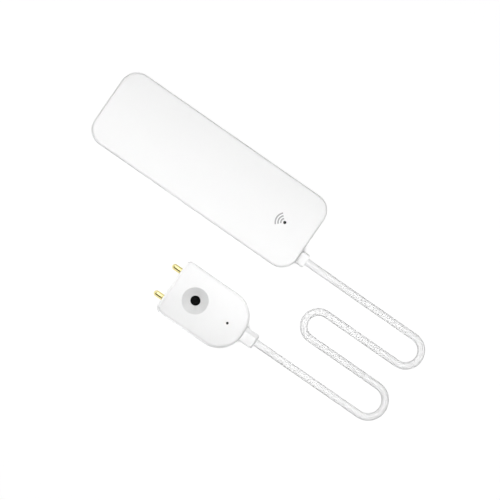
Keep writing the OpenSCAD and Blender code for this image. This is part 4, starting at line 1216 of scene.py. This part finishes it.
class BuildConnector(bpy.types.Operator):
    """Adds the cord's socket and plug, and the lead wires in the unit and the probe"""

    bl_idname = "leak_sensor.connector"
    bl_label = "Connector and leads"

    # Lead wires, in millimetres: the pair's middle line, then a wire's points as place along X, distance from
    # the middle line and height
    leads = (
        ("unit_leads", "main_leads", -7.4, (
            (42.85, 0.75, 4.6), (42.05, 0.75, 4.6), (41.25, 0.75, 4.6),
            (38.85, 1, 6.65), (38.05, 1, 6.65), (37.25, 1, 6.65),
        )),
        ("probe_lead_pair", "probe_leads", -43.3, (
            (42.4, 0.75, 4.6), (41.6, 0.75, 4.6), (40.8, 0.75, 4.6), (39.3, 2.3, 3.95), (36.3, 2.3, 3.95),
        )),
    )

    def execute(self, context):
        settings = context.scene.leak_sensor
        nylon = moulded_nylon(settings)
        piece("socket_body", softened("cord_socket", 0.12), "base", [nylon], "connector_ivory", "cord_socket")
        low, high = box_mm("cord_plug")
        bm = softened("cord_plug", 0.18)
        for side in (-1, 1):
            y = (low.y + high.y) / 2 + side
            start = (high.x - 1.5, y - 0.32, high.z - 0.1)
            block(bm, start, (high.x - 0.5, y + 0.32, high.z + 0.02), 0.03, 1)
        piece("plug_body", bm, "base", [nylon, tin_plate()], "connector_ivory", "cord_plug")

        finishes = [
            lead_pvc("PVC, red insulation", settings.cord.lead_tint),
            lead_pvc("PVC, black insulation", settings.cord.return_tint),
        ]
        for name, node_name, middle, points in self.leads:
            routes = [[(x, middle + side * away, z) for x, away, z in points] for side in (1, -1)]
            made = wire(name, routes, settings.cord.lead_diameter, finishes)
            attach(made, "base", "lead_red", node_name)
        return {"FINISHED"}


class BuildScrews(bpy.types.Operator):
    """Adds the board's and the probe's screws"""

    bl_idname = "leak_sensor.screws"
    bl_label = "Screws"

    def execute(self, context):
        plating = nickel_plate(context.scene.leak_sensor)
        for name in ("board_screws", "probe_screws"):
            piece(name + "_plated", softened(name, 0.08), "base", [plating], "spring_steel", name)
        return {"FINISHED"}


class LeakSensorPanel(bpy.types.Panel):
    """Lists the settings and the pieces of the leak sensor"""

    bl_idname = "VIEW3D_PT_leak_sensor"
    bl_label = "Leak sensor"
    bl_space_type = "VIEW_3D"
    bl_region_type = "UI"
    bl_category = "Leak sensor"

    def draw(self, context):
        settings = context.scene.leak_sensor
        for part in settings.__annotations__:
            values = getattr(settings, part)
            box = self.layout.box()
            for name in values.__annotations__:
                box.prop(values, name)
        for kind in OPERATORS:
            self.layout.operator(kind.bl_idname)


def main():
    """Registers the add-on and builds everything."""
    register()
    ops = bpy.ops.leak_sensor
    ops.stage()
    ops.cord()
    ops.shells()
    ops.pins()
    ops.signal_mark()
    ops.cells()
    ops.contacts()
    ops.boards()
    ops.radio()
    ops.small_parts()
    ops.pairing_switch()
    ops.connector()
    ops.screws()


OPERATORS = (
    BuildStage, BuildCord, DressShells, BuildPins, BuildSignalMark, BuildCells, BuildContacts, BuildBoards,
    BuildRadio, BuildSmallParts, BuildSwitch, BuildConnector, BuildScrews,
)
CLASSES = (
    ShellSettings, CordSettings, MarkSettings, PinSettings, CellSettings, BoardSettings, StageSettings,
    LeakSensorSettings, *OPERATORS, LeakSensorPanel,
)


def register():
    """Registers the settings, the operators and the panel."""
    for kind in CLASSES:
        bpy.utils.register_class(kind)
    bpy.types.Scene.leak_sensor = bpy.props.PointerProperty(type=LeakSensorSettings)


def unregister():
    """Takes the settings, the operators and the panel away again."""
    del bpy.types.Scene.leak_sensor
    for kind in reversed(CLASSES):
        bpy.utils.unregister_class(kind)


if __name__ == "__main__":
    main()
